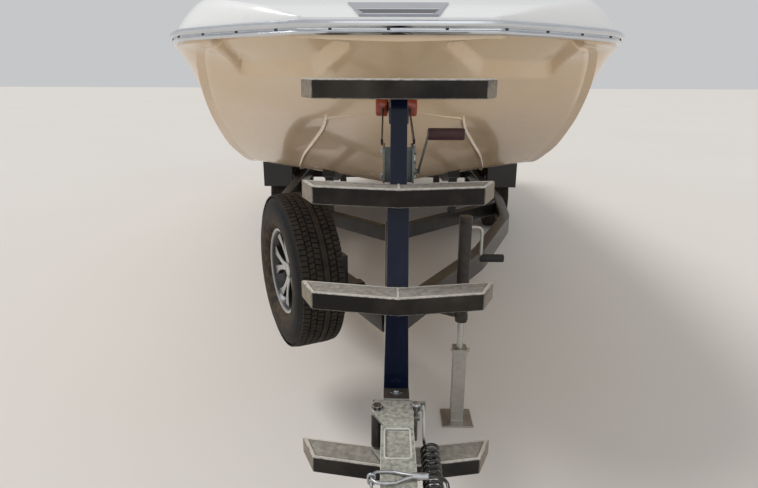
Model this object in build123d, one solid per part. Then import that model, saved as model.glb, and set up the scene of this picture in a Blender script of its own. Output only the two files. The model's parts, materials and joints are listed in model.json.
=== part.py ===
"""An open-bow speedboat parked on its tandem-axle trailer.

Lengths are in millimetres. The bow points to -Y, +X is to the right of someone who
faces the bow from ahead, and Z points up from the ground. The origin is on the ground
in the middle of the whole length and width. The boat lies in the trailer's bunks, its
stem against the bow stop, and the trailer stands on four wheels and its jack.
"""

import os
from math import atan2, cos, degrees, hypot, pi, radians, sin, tan

from build123d import *

os.makedirs("parts", exist_ok=True)

# Overall lengths
NOSE_TO_STEM = 900
HULL_LENGTH = 6900
PLATFORM_LENGTH = 600
OVERALL = NOSE_TO_STEM + HULL_LENGTH + PLATFORM_LENGTH
NOSE_Y = -OVERALL / 2
STEM_Y = NOSE_Y + NOSE_TO_STEM
TRANSOM_Y = STEM_Y + HULL_LENGTH

# Clearances
SEAT_GAP = 0.3
RUNNING_GAP = 0.3
MOVING_GAP = 6

# Hull: one row for each station from the stem to the transom
HULL_COLUMNS = ("aft", "rail_x", "rail_z", "chine_x", "chine_z", "strake_x", "strake_z", "keel_z",
                "deck_x", "deck_z")
HULL_ROWS = [
    (0, 330, 1790, 300, 1745, 160, 1722, 1712, 310, 1812),
    (150, 560, 1789, 510, 1745, 205, 1660, 1635, 500, 1868),
    (400, 850, 1786, 785, 1735, 262, 1560, 1480, 745, 1912),
    (800, 1005, 1781, 905, 1560, 335, 1408, 1290, 870, 1930),
    (1250, 1090, 1776, 985, 1365, 440, 1285, 1110, 945, 1935),
    (1850, 1170, 1770, 1052, 1145, 600, 1105, 930, 1025, 1935),
    (2600, 1225, 1760, 1088, 960, 730, 900, 785, 1080, 1925),
    (4200, 1245, 1720, 1100, 905, 760, 800, 670, 1100, 1860),
    (5100, 1240, 1690, 1100, 890, 755, 770, 640, 1095, 1800),
    (6900, 1190, 1660, 1075, 875, 735, 750, 620, 1045, 1800),
]
RAIL_LIP = 42
DECK_EDGE = 14
STATIONS = [dict(zip(HULL_COLUMNS, row)) for row in HULL_ROWS]
STRETCH = HULL_LENGTH / HULL_ROWS[-1][0]
for station in STATIONS:
    station["aft"] *= STRETCH

# Wells that are sunk in hull and deck, in the order bow to stern
WELL_COLUMNS = ("fore", "aft", "fore_x", "aft_x", "floor_z", "corner")
WELL_ROWS = {
    "bow_seats": (950, 2250, 560, 800, 1470, 90),
    "bow_feet": (1450, 2700, 300, 300, 1220, 60),
    "cockpit": (2620, 5150, 935, 925, 1400, 90),
    "helm": (2660, 3900, 880, 880, 1020, 60),
    "bench_feet": (3850, 4650, 450, 450, 1020, 50),
    "engine_bay": (5300, 6560, 600, 600, 860, 60),
}
WELLS = {name: dict(zip(WELL_COLUMNS, row)) for name, row in WELL_ROWS.items()}
for well in WELLS.values():
    well["fore"] *= STRETCH
    well["aft"] *= STRETCH
WELL_TOP = 2300

# Rub rail
RUB_HEIGHT = 46
RUB_DEPTH = 28

# Cushions
CUSHION = 100
CUSHION_GAP = 8
BACKREST = 110
BACKREST_HEIGHT = 300

# Driver's seat
SEAT_HALF = 250
SEAT_FORE = 240
SEAT_BACK = 180
SEAT_TALL = 430
SEAT_THICK = 94

# Engine hatch and its sun pad
ENGINE_SIZE = (620, 900, 560)
HATCH_OVERLAP = 40
HATCH_THICK = 24
PAD_THICK = 90

# Helm
WHEEL_DIA = 350
WHEEL_TUBE = 28
WHEEL_TILT = 62
CONSOLE_TOP_Z = 1800
CONSOLE_DEPTH = 430
WALKWAY_X = 330
HELM_X = -560
SEAT_AFT = 3520 * STRETCH
SEAT_Z = 1400

# Swim platform
PLATFORM_HALF = 1050
PLATFORM_END_HALF = 960
PLATFORM_TOP = 1140
PLATFORM_THICK = 50
PLATFORM_STAY_X = 600

# Windshield
SCREEN_AFT = [place * STRETCH for place in (3350, 2560, 2330)]
SCREEN_HEIGHT = 290
SCREEN_RAKE = 150
SCREEN_BAR = 26
GLASS = 7

# Running gear under the stern
SHAFT_ANGLE = 12
SHAFT_DIA = 32
PROP_AFT = HULL_LENGTH - 900
PROP_DIA = 340
PROP_HUB = 80
PROP_Z = 420
FIN_ROWS = [(4250, 0), (4500, 160), (4500, -160)]
RUDDER_AFT = HULL_LENGTH - 480
STOCK_R = 16
STOCK_TALL = 120

# Trailer frame
FRAME_TOP = 610
FRAME_DEEP = 127
FRAME_WIDE = 76
RAIL_PATH = [  # across, behind the coupler nose
    (20, 1345), (535, 2230), (868, 3090), (938, 3750), (938, 7050),
]
RAIL_END_Y = NOSE_Y + RAIL_PATH[-1][1]
RAIL_BEND = 700
VEE_APEX_Y = NOSE_Y + 2690
VEE_END_Y = NOSE_Y + 3560
VEE_REACH = 900
VEE_WIDE = 82
VEE_DEEP = 107
VEE_TOP = FRAME_TOP
CROSS_MID_Y = NOSE_Y + 4560
CROSS_REAR_Y = NOSE_Y + 6480
CROSS_WIDE = 76
CROSS_DEEP = 100
CROSS_TOP = 468
CROSS_EAR = 60

# Tongue with its folding joint
TONGUE_TOP = 640
TONGUE_DEEP = 127
TONGUE_WIDE = 80
TONGUE_LOW = TONGUE_TOP - TONGUE_DEEP
SPLIT_Y = NOSE_Y + 503
HINGE_X = -60
HINGE_Y = NOSE_Y + 455
HINGE_PLATE = 10
SWING_FRONT_Y = NOSE_Y + 370
SLEEVE_R = 19
PIN_R = 9
EAR_OUT = 18
PLATE_HALF = 50
LOCK_X = 60
LOCK_Y = NOSE_Y + 460

# Bunks under the hull
BUNK_X = 470
BUNK_WIDE = 90
BUNK_DEEP = 60
BUNK_START_Y = NOSE_Y + 3130
BUNK_END_Y = NOSE_Y + 7350
BUNK_POST = 60

# Wheels
TYRE_R = 359
WHEEL_FACETS = 40
TYRE_WIDE = 222
RIM_R = 190
RIM_WIDE = 160
SPINDLE_R = 22
AXLE_SPREAD = 2 * TYRE_R + 162
AXLE_MID_Y = NOSE_Y + 5550
WHEEL_X = 1155
SPOKES = 5
HUB_R = 48
SPOKE_FACE = 56
SPOKE_THICK = 26

# Axles
AXLE_HALF = 960
AXLE_TUBE = 76
ARM_X = 985
ARM_LONG = 150
HUB_FACE_X = 1008

# Fenders
RAIL_OUT_X = RAIL_PATH[-1][0] + FRAME_WIDE / 2
FENDER_IN_X = 1000
FENDER_OUT_X = 1295
FENDER_TOP = 2 * TYRE_R + 67
FENDER_FRONT_Y = AXLE_MID_Y - AXLE_SPREAD / 2 - TYRE_R - 101
FENDER_REAR_Y = AXLE_MID_Y + AXLE_SPREAD / 2 + TYRE_R + 101
FENDER_PLATE = 5
FENDER_SKIRT = 270
FENDER_SIDE = 150
FENDER_STAY = 250

# Steps: chevron treads, wider behind than in front
STEP_FRONT_HALF = 260
STEP_BACK_HALF = 305
STEP_SWEEP = 10.5
STEP_DEPTH = 92
STEP_TALL = 55
STEP_ROWS = [  # front edge behind the nose, top above ground
    (605, 1622), (548, 1315), (464, 1009),
]
LOW_STEP_FRONT = 368
LOW_STEP_TOP = TONGUE_LOW - HINGE_PLATE - 5

# Winch post: its front plane, as height above ground and distance behind the nose
POST_FRONT = [(TONGUE_TOP, 573), (1000, 552), (1620, 700)]
POST_FOOT_WIDE = 82
POST_WIDE = 66
POST_DEEP = 66
POST_KNEE_Z = 1000
POST_JOIN_Z = 1290
MAST_WIDE = 51
MAST_DEEP = 51
MAST_TOP_Z = 1600
BRACKET_WIDE = 86

# Bow eye, winch and strap
EYE_Z = 1330
EYE_OUT = 42
CLEAT_AFT = (700, 3800, 6250)
WINCH_Z = 1370
DRUM_R = 40
STRAP_WIDE = 50

# Bow stop
STOP_R = 36
STOP_LONG = 160
STOP_Z = 1515

# Spare wheel
SPARE_X = -445
SPARE_Y = NOSE_Y + 1450
SPARE_Z = 752
SPARE_YAW = 26

# Jack
JACK_X = 318
JACK_Y = NOSE_Y + 1360
JACK_R = 28.5
JACK_TOP = 1035
JACK_TUBE_LOW = 530
JACK_RAM_R = 15
JACK_LEG = 60
JACK_LEG_TOP = 392
JACK_FOOT = 150
JACK_FOOT_THICK = 8
JACK_CAP = 40
JACK_TRAVEL = JACK_TUBE_LOW - JACK_LEG_TOP - MOVING_GAP
JACK_MOUNT_TALL = 110
CRANK_OUT = 46

# Coupler
COUPLER_WIDE = 96
COUPLER_TOP = TONGUE_TOP + HINGE_PLATE
COUPLER_TALL = 128
COUPLER_FLAT = 120
NOSE_R = 44
PANEL = (70, 126, 6)
PANEL_FRONT = 223
BALL_R = 30
SOCKET_BACK = 75
SOCKET_DEEP = 30

# Breakaway cable: thickness, coil, and the route's points ahead of and behind the coil
CABLE_R = 4.5
COIL_R = 30
CABLE_RUN = 36
LEAD_ROUTE = [(84, 491, 636), (84, 460, 636)]  # across, behind the nose, above ground
COIL_ROUTE = [(95, 404, 588), (98, 270, 560), (94, 132, 566)]
TAIL_ROUTE = [(100, 70, 604), (124, 92, 642), (122, 140, 660), (76, 140, 660)]
GLAND = (46, 92, 9, 12)

# Ferrule and eye on the cable's end, and the chain that hangs from the eye
FERRULE_R = 9
FERRULE_LONG = 44
EYE_PLAN = [  # across, behind the ferrule's line
    (34, -6), (34, 6), (-8, 26), (-52, 24), (-74, 10), (-74, -10), (-52, -24), (-8, -26),
]
EYE_THICK = 8
LINK_R = 3.5
LINK_LONG = 38
LINK_WIDE = 24
LINKS = 4
CHAIN_X = -70
CHAIN_RING = 14


def block(x0, x1, y0, y1, z0, z1):
    """A box between two corners."""
    size = Box(abs(x1 - x0), abs(y1 - y0), abs(z1 - z0))
    return Pos((x0 + x1) / 2, (y0 + y1) / 2, (z0 + z1) / 2) * size


def rod(start, end, radius):
    """A round bar between two points."""
    axis = Vector(*end) - Vector(*start)
    return Solid.make_cylinder(radius, axis.length, Plane(origin=start, z_dir=axis))


def beam(start, end, wide, deep, x_dir):
    """A rectangular bar between two points; x_dir is the direction of its width."""
    axis = Vector(*end) - Vector(*start)
    section = Plane(origin=start, x_dir=x_dir, z_dir=axis) * Rectangle(wide, deep)
    return extrude(section, amount=axis.length)


def prism(points, low, high):
    """A vertical prism on a plan outline."""
    outline = make_face(Polyline(*points, close=True))
    return Pos(0, 0, low) * extrude(outline, amount=high - low)


def side_prism(points, x0, x1):
    """A prism along X on an outline of (y, z) points."""
    outline = make_face(Polyline(*[(x0, y, z) for y, z in points], close=True))
    return extrude(outline, amount=x1 - x0, dir=(1, 0, 0))


def ring_of(profile):
    """A faceted ring body about Z: the profile's (radius, height) rows, filled to the axis."""
    rings = []
    for radius, height in profile:
        spread = radius / cos(radians(180 / WHEEL_FACETS))
        flat = Pos(0, 0, height) * RegularPolygon(spread, WHEEL_FACETS, rotation=180 / WHEEL_FACETS)
        rings.append(flat.face().outer_wire())
    return Solid.make_loft(rings, ruled=True)


def post_front(z):
    """Y of the winch post's front plane at a height."""
    for (low, back_low), (high, back_high) in zip(POST_FRONT, POST_FRONT[1:]):
        if z <= high:
            return NOSE_Y + back_low + (z - low) / (high - low) * (back_high - back_low)
    raise ValueError("above the post")


def cord_path(points):
    """Straight runs joined by arcs as large as their runs allow."""
    radii = []
    for before, here, after in zip(points, points[1:], points[2:]):
        turn = radians((here - before).get_angle(after - here))
        run = min((here - before).length, (after - here).length)
        radii.append(0.45 * run / tan(turn / 2))
    print("cord radii", [round(r) for r in radii])
    return FilletPolyline(*points, radius=radii)


def tube(points, radius):
    """A round cord along points, its length and volume printed to show that no bend folds."""
    path = cord_path(points)
    section = Plane(origin=path @ 0, z_dir=path % 0) * Circle(radius)
    solid = sweep(section, path=path)
    print("cord length", round(path.length), "volume", round(solid.volume), "of", round(pi * radius ** 2 * path.length))
    return solid


def flipped(shape):
    """The same piece on the other side of the boat."""
    return shape.mirror(Plane.YZ)


def save(name, *pieces):
    """Write one node; its pieces stay separate solids."""
    solids = [solid for piece in pieces for solid in piece.solids()]
    shape = solids[0] if len(solids) == 1 else Compound(children=solids)
    export_step(shape, os.path.join("parts", name + ".step"))


def hull_value(aft, column):
    """One column of the hull table, interpolated at a distance behind the stem."""
    for fore, rear in zip(STATIONS, STATIONS[1:]):
        if aft <= rear["aft"]:
            share = (aft - fore["aft"]) / (rear["aft"] - fore["aft"])
            return fore[column] + share * (rear[column] - fore[column])
    return STATIONS[-1][column]


def keel_point(z):
    """Distance behind the stem where the stem line comes down to a height."""
    for fore, rear in zip(STATIONS, STATIONS[1:]):
        if rear["keel_z"] <= z:
            share = (fore["keel_z"] - z) / (fore["keel_z"] - rear["keel_z"])
            slope = atan2(fore["keel_z"] - rear["keel_z"], rear["aft"] - fore["aft"])
            return fore["aft"] + share * (rear["aft"] - fore["aft"]), slope
    raise ValueError("below the keel")


def mirrored_ring(half, y):
    """A closed section at y from the half outline that starts and ends on the middle."""
    points = [(x, y, z) for x, z in half]
    points += [(-x, y, z) for x, z in reversed(half) if x > 0]
    return Wire(Polyline(*points, close=True).edges())


def hull_body():
    """Topsides and vee bottom as one loft through the stations."""
    rings = []
    for row in STATIONS:
        half = [(0, row["keel_z"]), (row["strake_x"], row["strake_z"]),
                (row["chine_x"], row["chine_z"]), (row["rail_x"], row["rail_z"] - RAIL_LIP),
                (row["rail_x"], row["rail_z"])]
        rings.append(mirrored_ring(half, STEM_Y + row["aft"]))
    return Solid.make_loft(rings, ruled=True)


def deck_body():
    """The deck moulding from the rail up to the gunwale."""
    rings = []
    for row in STATIONS:
        half = [(row["rail_x"], row["rail_z"]), (row["rail_x"], row["rail_z"] + DECK_EDGE),
                (row["deck_x"], row["deck_z"])]
        rings.append(mirrored_ring(half, STEM_Y + row["aft"]))
    return Solid.make_loft(rings, ruled=True)


def well_cut(name, floor_z=None):
    """The space of one well, open at the top."""
    well = WELLS[name]
    fore, aft = STEM_Y + well["fore"], STEM_Y + well["aft"]
    outline = make_face(Polyline((-well["fore_x"], fore), (well["fore_x"], fore),
                                 (well["aft_x"], aft), (-well["aft_x"], aft), close=True))
    outline = fillet(outline.vertices(), well["corner"])
    low = well["floor_z"] if floor_z is None else floor_z
    return Pos(0, 0, low) * extrude(outline, amount=WELL_TOP - low)


def make_hull_and_deck():
    hull, deck = hull_body(), deck_body()
    for name in WELLS:
        hull -= well_cut(name)
        deck -= well_cut(name)
    tunnel_y = STEM_Y + PROP_AFT
    shaft_top = (0, tunnel_y - 1500, PROP_Z + 1500 * tan(radians(SHAFT_ANGLE)))
    hull -= rod((0, tunnel_y, PROP_Z), shaft_top, SHAFT_DIA / 2 + MOVING_GAP)
    rudder_y, rudder_z = STEM_Y + RUDDER_AFT, hull_value(RUDDER_AFT, "keel_z")
    hull -= rod((0, rudder_y, rudder_z - 50), (0, rudder_y, rudder_z + STOCK_TALL + MOVING_GAP), STOCK_R + RUNNING_GAP)
    save("hull", hull)
    save("deck", deck)
    return hull, deck


def make_rub_rail():
    """The bright strip round the sheer, lapped over the joint of hull and deck."""
    outer, inner = [], []
    front = STATIONS[0]
    lead = dict(front, aft=-RUB_DEPTH, rail_x=front["rail_x"])
    for row in [lead] + STATIONS:
        y = STEM_Y + row["aft"]
        low, high = row["rail_z"] - RUB_HEIGHT + DECK_EDGE, row["rail_z"] + DECK_EDGE
        wide = row["rail_x"] + (0 if row is lead else RUB_DEPTH)
        outer.append(mirrored_ring([(wide, low), (wide, high)], y))
    for row in STATIONS:
        y = STEM_Y + row["aft"]
        inner.append(mirrored_ring([(row["rail_x"], row["rail_z"] - 200),
                                    (row["rail_x"], row["rail_z"] + 200)], y))
    ring = Solid.make_loft(outer, ruled=True) - Solid.make_loft(inner, ruled=True)
    save("rub_rail", ring)


def make_nose_plate():
    """The glossy nose plate with its light slot, on the slope of the foredeck."""
    fore, rear = STATIONS[0], STATIONS[1]
    run = rear["aft"] - fore["aft"]
    rise = rear["deck_z"] - fore["deck_z"]
    slope = degrees(atan2(rise, run))
    length = hypot(run, rise)
    plate = make_face(Polyline((-130, 8), (130, 8), (175, length - 6), (-175, length - 6), close=True))
    plate = extrude(plate, amount=8) - Pos(0, 28, 5) * Box(210, 14, 8)
    place = Location((0, STEM_Y + fore["aft"], fore["deck_z"])) * Rot(slope, 0, 0)
    save("nose_plate", place * plate)


def make_hardware(deck):
    """Bow eye, cleats and stern eyes."""
    aft, slope = keel_point(EYE_Z)
    centre = Vector(0, STEM_Y + aft, EYE_Z)
    out = Vector(0, -sin(slope), -cos(slope))
    eye = Solid.make_cylinder(30, 24, Plane(origin=centre + out * EYE_OUT + Vector(-12, 0, 0), z_dir=(1, 0, 0)))
    eye += beam(tuple(centre), tuple(centre + out * 30), 24, 60, (1, 0, 0))
    eye -= Solid.make_cylinder(16, 60, Plane(origin=centre + out * EYE_OUT + Vector(-30, 0, 0), z_dir=(1, 0, 0)))
    eye -= make_trimmer(centre, out)
    cleats = []
    for place in CLEAT_AFT:
        aft = place * STRETCH
        for side in (-1, 1):
            x = side * (hull_value(aft, "deck_x") - 70)
            cleats.append(cleat(x, STEM_Y + aft, hull_value(aft, "deck_z")))
    eyes = []
    for side in (-1, 1):
        y = TRANSOM_Y
        loop = Pos(side * 650, y + 30, 1300) * Rot(0, 90, 0) * (Cylinder(34, 14) - Cylinder(20, 20))
        eyes.append(loop - block(-1000, 1000, y - 200, y, 1000, 1600))
    save("hardware", eye, *[piece - deck for piece in cleats], *eyes)


def make_trimmer(centre, out):
    """Everything on the hull's side of the bow eye's seat."""
    return beam(tuple(centre), tuple(centre - out * 60), 200, 200, (1, 0, 0))


def cleat(x, y, z):
    """A low cleat with two legs and a bar, its feet on the deck."""
    legs = [block(x - 10, x + 10, y + d - 10, y + d + 10, z - 2, z + 30) for d in (-35, 35)]
    bar = rod((x, y - 95, z + 36), (x, y + 95, z + 36), 10)
    return legs[0] + legs[1] + bar


def cushion(x0, x1, y0, y1, z0, z1, round_by=18):
    """A plain cushion with its top edges rounded."""
    solid = block(x0, x1, y0, y1, z0, z1)
    top = [edge for edge in solid.edges() if edge.center().Z > z1 - 1]
    return fillet(top, round_by)


def make_bow_cushions():
    well, feet = WELLS["bow_seats"], WELLS["bow_feet"]
    low = well["floor_z"] + SEAT_GAP
    fore = STEM_Y + well["fore"] + 40
    split = STEM_Y + feet["fore"] - 60
    aft = STEM_Y + well["aft"] - 20
    inner = feet["fore_x"] + 10
    outer = well["fore_x"] + 60
    pieces = [cushion(-outer + 100, outer - 100, fore, split - CUSHION_GAP, low, low + CUSHION)]
    for side in (-1, 1):
        near, far = sorted((side * inner, side * outer))
        pieces.append(cushion(near, far, split, aft, low, low + CUSHION))
    save("bow_cushions", *pieces)


def make_lounge_cushions():
    well, feet = WELLS["cockpit"], WELLS["bench_feet"]
    low = well["floor_z"] + SEAT_GAP
    seat = low + CUSHION
    fore = STEM_Y + WELLS["helm"]["aft"] + 30
    split = STEM_Y + feet["aft"]
    aft = STEM_Y + well["aft"] - SEAT_GAP
    inner = feet["fore_x"] + 10
    outer = well["aft_x"] - SEAT_GAP
    pieces = []
    for side in (-1, 1):
        near, far = sorted((side * inner, side * (outer - BACKREST)))
        pieces.append(cushion(near, far, fore, split, low, seat))
        near, far = sorted((side * (outer - BACKREST + CUSHION_GAP), side * outer))
        pieces.append(cushion(near, far, fore, split, low, seat + BACKREST_HEIGHT))
    wide = outer - well["corner"]
    pieces.append(cushion(-wide, wide, split + CUSHION_GAP, aft - BACKREST - CUSHION_GAP, low, seat))
    pieces.append(cushion(-wide, wide, aft - BACKREST, aft, low, seat + BACKREST_HEIGHT))
    save("lounge_cushions", *pieces)


def make_driver_seat():
    y = STEM_Y + SEAT_AFT
    left, right, low = HELM_X - SEAT_HALF, HELM_X + SEAT_HALF, SEAT_Z + SEAT_GAP
    pan = cushion(left, right, y - SEAT_FORE, y + SEAT_BACK, low, low + CUSHION)
    back_y = y + SEAT_BACK + CUSHION_GAP
    back = cushion(left, right, back_y, back_y + SEAT_THICK, low, low + SEAT_TALL)
    save("driver_seat", pan, back)
    floor = WELLS["helm"]["floor_z"]
    post = rod((HELM_X, y, floor), (HELM_X, y, SEAT_Z - 10), 45)
    post += rod((HELM_X, y, floor), (HELM_X, y, floor + 10), 110)
    post += block(left + 90, right - 90, y - SEAT_FORE + 80, back_y + SEAT_THICK - 10, SEAT_Z - 12, SEAT_Z)
    save("seat_post", post)


def make_consoles(hull, deck):
    """The helm and observer consoles, with sloping dashboards."""
    floor = WELLS["helm"]["floor_z"]
    fore = STEM_Y + WELLS["helm"]["fore"] + SEAT_GAP
    outer = WELLS["helm"]["fore_x"] - SEAT_GAP
    deep = fore + CONSOLE_DEPTH
    profile = [(fore, floor), (deep - 60, floor), (deep, CONSOLE_TOP_Z - 210),
               (deep - 110, CONSOLE_TOP_Z), (fore, CONSOLE_TOP_Z)]
    right = side_prism(profile, WALKWAY_X, outer)
    left = flipped(right)
    column_foot, column_end, _ = helm_axis()
    left += rod(column_foot, column_end, 24)
    save("consoles", left - hull - deck, right - hull - deck)


def helm_axis():
    """Start and end of the steering column and its direction, towards the driver."""
    tilt = radians(WHEEL_TILT)
    direction = Vector(0, sin(tilt), cos(tilt))
    deep = STEM_Y + WELLS["helm"]["fore"] + CONSOLE_DEPTH
    foot = Vector(HELM_X, deep - 90, CONSOLE_TOP_Z - 130)
    end = foot + direction * 130
    return tuple(foot), tuple(end), direction


def make_steering_wheel():
    _, end, direction = helm_axis()
    local = Plane(origin=Vector(*end) + direction * RUNNING_GAP, x_dir=(1, 0, 0), z_dir=direction)
    section = Plane.XZ * Pos((WHEEL_DIA - WHEEL_TUBE) / 2, 30) * RegularPolygon(WHEEL_TUBE / 2, 8)
    rim = revolve(section, Axis.Z)
    hub = Pos(0, 0, 18) * Cylinder(40, 36)
    wheel = rim + hub
    for turn in (90, 210, 330):
        spoke = Rot(0, 0, turn) * Pos((WHEEL_DIA - WHEEL_TUBE) / 4 + 10, 0, 26)
        wheel += spoke * Box((WHEEL_DIA - WHEEL_TUBE) / 2 - 20, 30, 8)
    save("steering_wheel", local.location * wheel)


def screen_corners():
    """Plan corners of the windshield's foot on one side, from the side wing inwards."""
    rear, corner, inner = SCREEN_AFT
    return [(hull_value(rear, "deck_x") - 60, STEM_Y + rear), (hull_value(corner, "deck_x") - 120, STEM_Y + corner),
            (WALKWAY_X, STEM_Y + inner)]


def make_windshield(deck):
    """Raked frame bars and the panes between them."""
    bars, panes = [], []
    for side in (-1, 1):
        feet = [Vector(side * x, y, hull_value(y - STEM_Y, "deck_z")) for x, y in screen_corners()]
        heads = [foot + Vector(-side * 40, SCREEN_RAKE, SCREEN_HEIGHT) for foot in feet]
        bars_side = None
        for low, high in zip(feet, heads):
            post = beam(tuple(low), tuple(high), SCREEN_BAR, SCREEN_BAR, (1, 0, 0))
            bars_side = post if bars_side is None else bars_side + post
        for ends in (zip(heads, heads[1:]), zip(feet, feet[1:])):
            for start, end in ends:
                bars_side += beam(tuple(start), tuple(end), SCREEN_BAR, SCREEN_BAR, (0, 0, 1))
        for number in range(len(feet) - 1):
            pane = pane_between(feet[number], feet[number + 1], heads[number], heads[number + 1])
            panes.append(pane - bars_side - deck)
        bars.append(bars_side - deck)
    save("windshield_frame", *bars)
    save("windshield_glass", *panes)


def pane_between(foot_a, foot_b, head_a, head_b):
    """A flat pane whose corners lie in the frame bars."""
    ring = Wire(Polyline(tuple(foot_a), tuple(foot_b), tuple(head_b), tuple(head_a), close=True).edges())
    normal = (foot_b - foot_a).cross(head_a - foot_a).normalized()
    start = Face(Wire(Polyline(*[tuple(v - normal * (GLASS / 2)) for v in (foot_a, foot_b, head_b, head_a)],
                               close=True).edges()))
    return Solid.extrude(start, normal * GLASS)


def make_engine():
    bay = WELLS["engine_bay"]
    mid = STEM_Y + (bay["fore"] + bay["aft"]) / 2
    wide, long, tall = ENGINE_SIZE
    save("engine_block", block(-wide / 2, wide / 2, mid - long / 2, mid + long / 2,
                               bay["floor_z"], bay["floor_z"] + tall))


def hatch_box():
    """Plan limits of the engine hatch."""
    bay = WELLS["engine_bay"]
    half = bay["fore_x"] + HATCH_OVERLAP
    return half, STEM_Y + bay["fore"] - HATCH_OVERLAP, STEM_Y + bay["aft"] + HATCH_OVERLAP


def make_hatch():
    half, fore, aft = hatch_box()
    low = hull_value(WELLS["engine_bay"]["fore"], "deck_z") + SEAT_GAP
    hinge_z = low + HATCH_THICK / 2
    lid = block(-half, half, fore, aft, low, low + HATCH_THICK)
    lid += rod((-half, aft, hinge_z), (half, aft, hinge_z), HATCH_THICK / 2)
    save("engine_hatch", lid)
    pad_low = low + HATCH_THICK + SEAT_GAP
    pads = [cushion(-half + 8, -4, fore + 8, aft - 8, pad_low, pad_low + PAD_THICK),
            cushion(4, half - 8, fore + 8, aft - 8, pad_low, pad_low + PAD_THICK)]
    save("sun_pad", *pads)


def make_platform():
    y0, y1 = TRANSOM_Y, TRANSOM_Y + PLATFORM_LENGTH
    half, end = PLATFORM_HALF, PLATFORM_END_HALF
    outline = make_face(Polyline((-half, y0), (half, y0), (end, y1), (-end, y1), close=True))
    outline = fillet(outline.vertices().sort_by(Axis.Y)[-2:], 160)
    low = PLATFORM_TOP - PLATFORM_THICK
    top = Pos(0, 0, low) * extrude(outline, amount=PLATFORM_THICK)
    for side in (-1, 1):
        x = side * PLATFORM_STAY_X
        top += side_prism([(y0, low), (y0 + 420, low), (y0, low - 130)], x - 20, x + 20)
    save("swim_platform", top)


def make_running_gear():
    """Shaft strut and tracking fins."""
    y = STEM_Y + PROP_AFT - 130
    shaft_z = PROP_Z + 130 * tan(radians(SHAFT_ANGLE))
    barrel = rod(shaft_point(-190), shaft_point(-80), 34)
    leg_top = hull_value(PROP_AFT - 150, "keel_z")
    leg = block(-9, 9, y - 60, y + 40, shaft_z + 28, leg_top + 40)
    strut = barrel + leg - rod(shaft_point(-300), shaft_point(100), SHAFT_DIA / 2 + RUNNING_GAP)
    fins = []
    for place, x in FIN_ROWS:
        aft = place * STRETCH
        z = hull_value(aft, "keel_z") + abs(x) * 0.175
        fins.append(side_prism([(STEM_Y + aft, z + 30), (STEM_Y + aft + 230, z + 30),
                                (STEM_Y + aft + 200, z - 110), (STEM_Y + aft + 80, z - 110)], x - 6, x + 6))
    return strut, fins


def shaft_point(back):
    """A point on the propeller shaft's axis; back is measured aft from the propeller."""
    angle = radians(SHAFT_ANGLE)
    return (0, STEM_Y + PROP_AFT + back * cos(angle), PROP_Z - back * sin(angle))


def make_propeller():
    hub = rod(shaft_point(-PROP_HUB / 2 - 30), shaft_point(PROP_HUB / 2), 38)
    angle = radians(SHAFT_ANGLE)
    axis = Vector(0, cos(angle), -sin(angle))
    local = Plane(origin=shaft_point(0), x_dir=(1, 0, 0), z_dir=axis)
    prop = hub
    for turn in range(3):
        disc = Pos(PROP_DIA / 4 + 8, 0, 0) * scale(Cylinder(PROP_DIA / 4 - 8, 9), (1, 0.95, 1))
        blade = Rot(0, 0, 120 * turn) * Rot(26, 0, 0) * disc
        prop += local.location * blade
    bay_end = shaft_point(-1250)
    save("propeller", prop)
    save("prop_shaft", rod(bay_end, shaft_point(-PROP_HUB / 2 - 30), SHAFT_DIA / 2))


def make_rudder():
    y = STEM_Y + RUDDER_AFT
    top = hull_value(RUDDER_AFT, "keel_z")
    blade = side_prism([(y - 70, top - 25), (y + 150, top - 25), (y + 130, top - 330), (y - 50, top - 330)], -11, 11)
    stock = rod((0, y, top - 60), (0, y, top + STOCK_TALL), STOCK_R)
    save("rudder", blade + stock)


def rail_points():
    """The side rail's corners in the shared frame."""
    return [(x, NOSE_Y + back) for x, back in RAIL_PATH]


def make_rails(tongue_block):
    """The curved side rails, mitred against the tongue's sides."""
    points = rail_points()
    path = FilletPolyline(*points, radius=RAIL_BEND)
    start = Vector(*points[1]) - Vector(*points[0])
    section = Plane(origin=points[0], x_dir=(0, 0, 1), z_dir=start) * Rectangle(FRAME_DEEP, FRAME_WIDE)
    right = Pos(0, 0, FRAME_TOP - FRAME_DEEP / 2) * sweep(section, path=path)
    right -= tongue_block
    right -= block(-900, 0, NOSE_Y, TRANSOM_Y, 0, FRAME_TOP + 100)
    save("rail_right", right)
    save("rail_left", flipped(right))
    return right


def tongue_tube(y0, y1):
    """A length of the tongue's tube."""
    half = TONGUE_WIDE / 2
    return block(-half, half, y0, y1, TONGUE_LOW, TONGUE_TOP)


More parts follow.
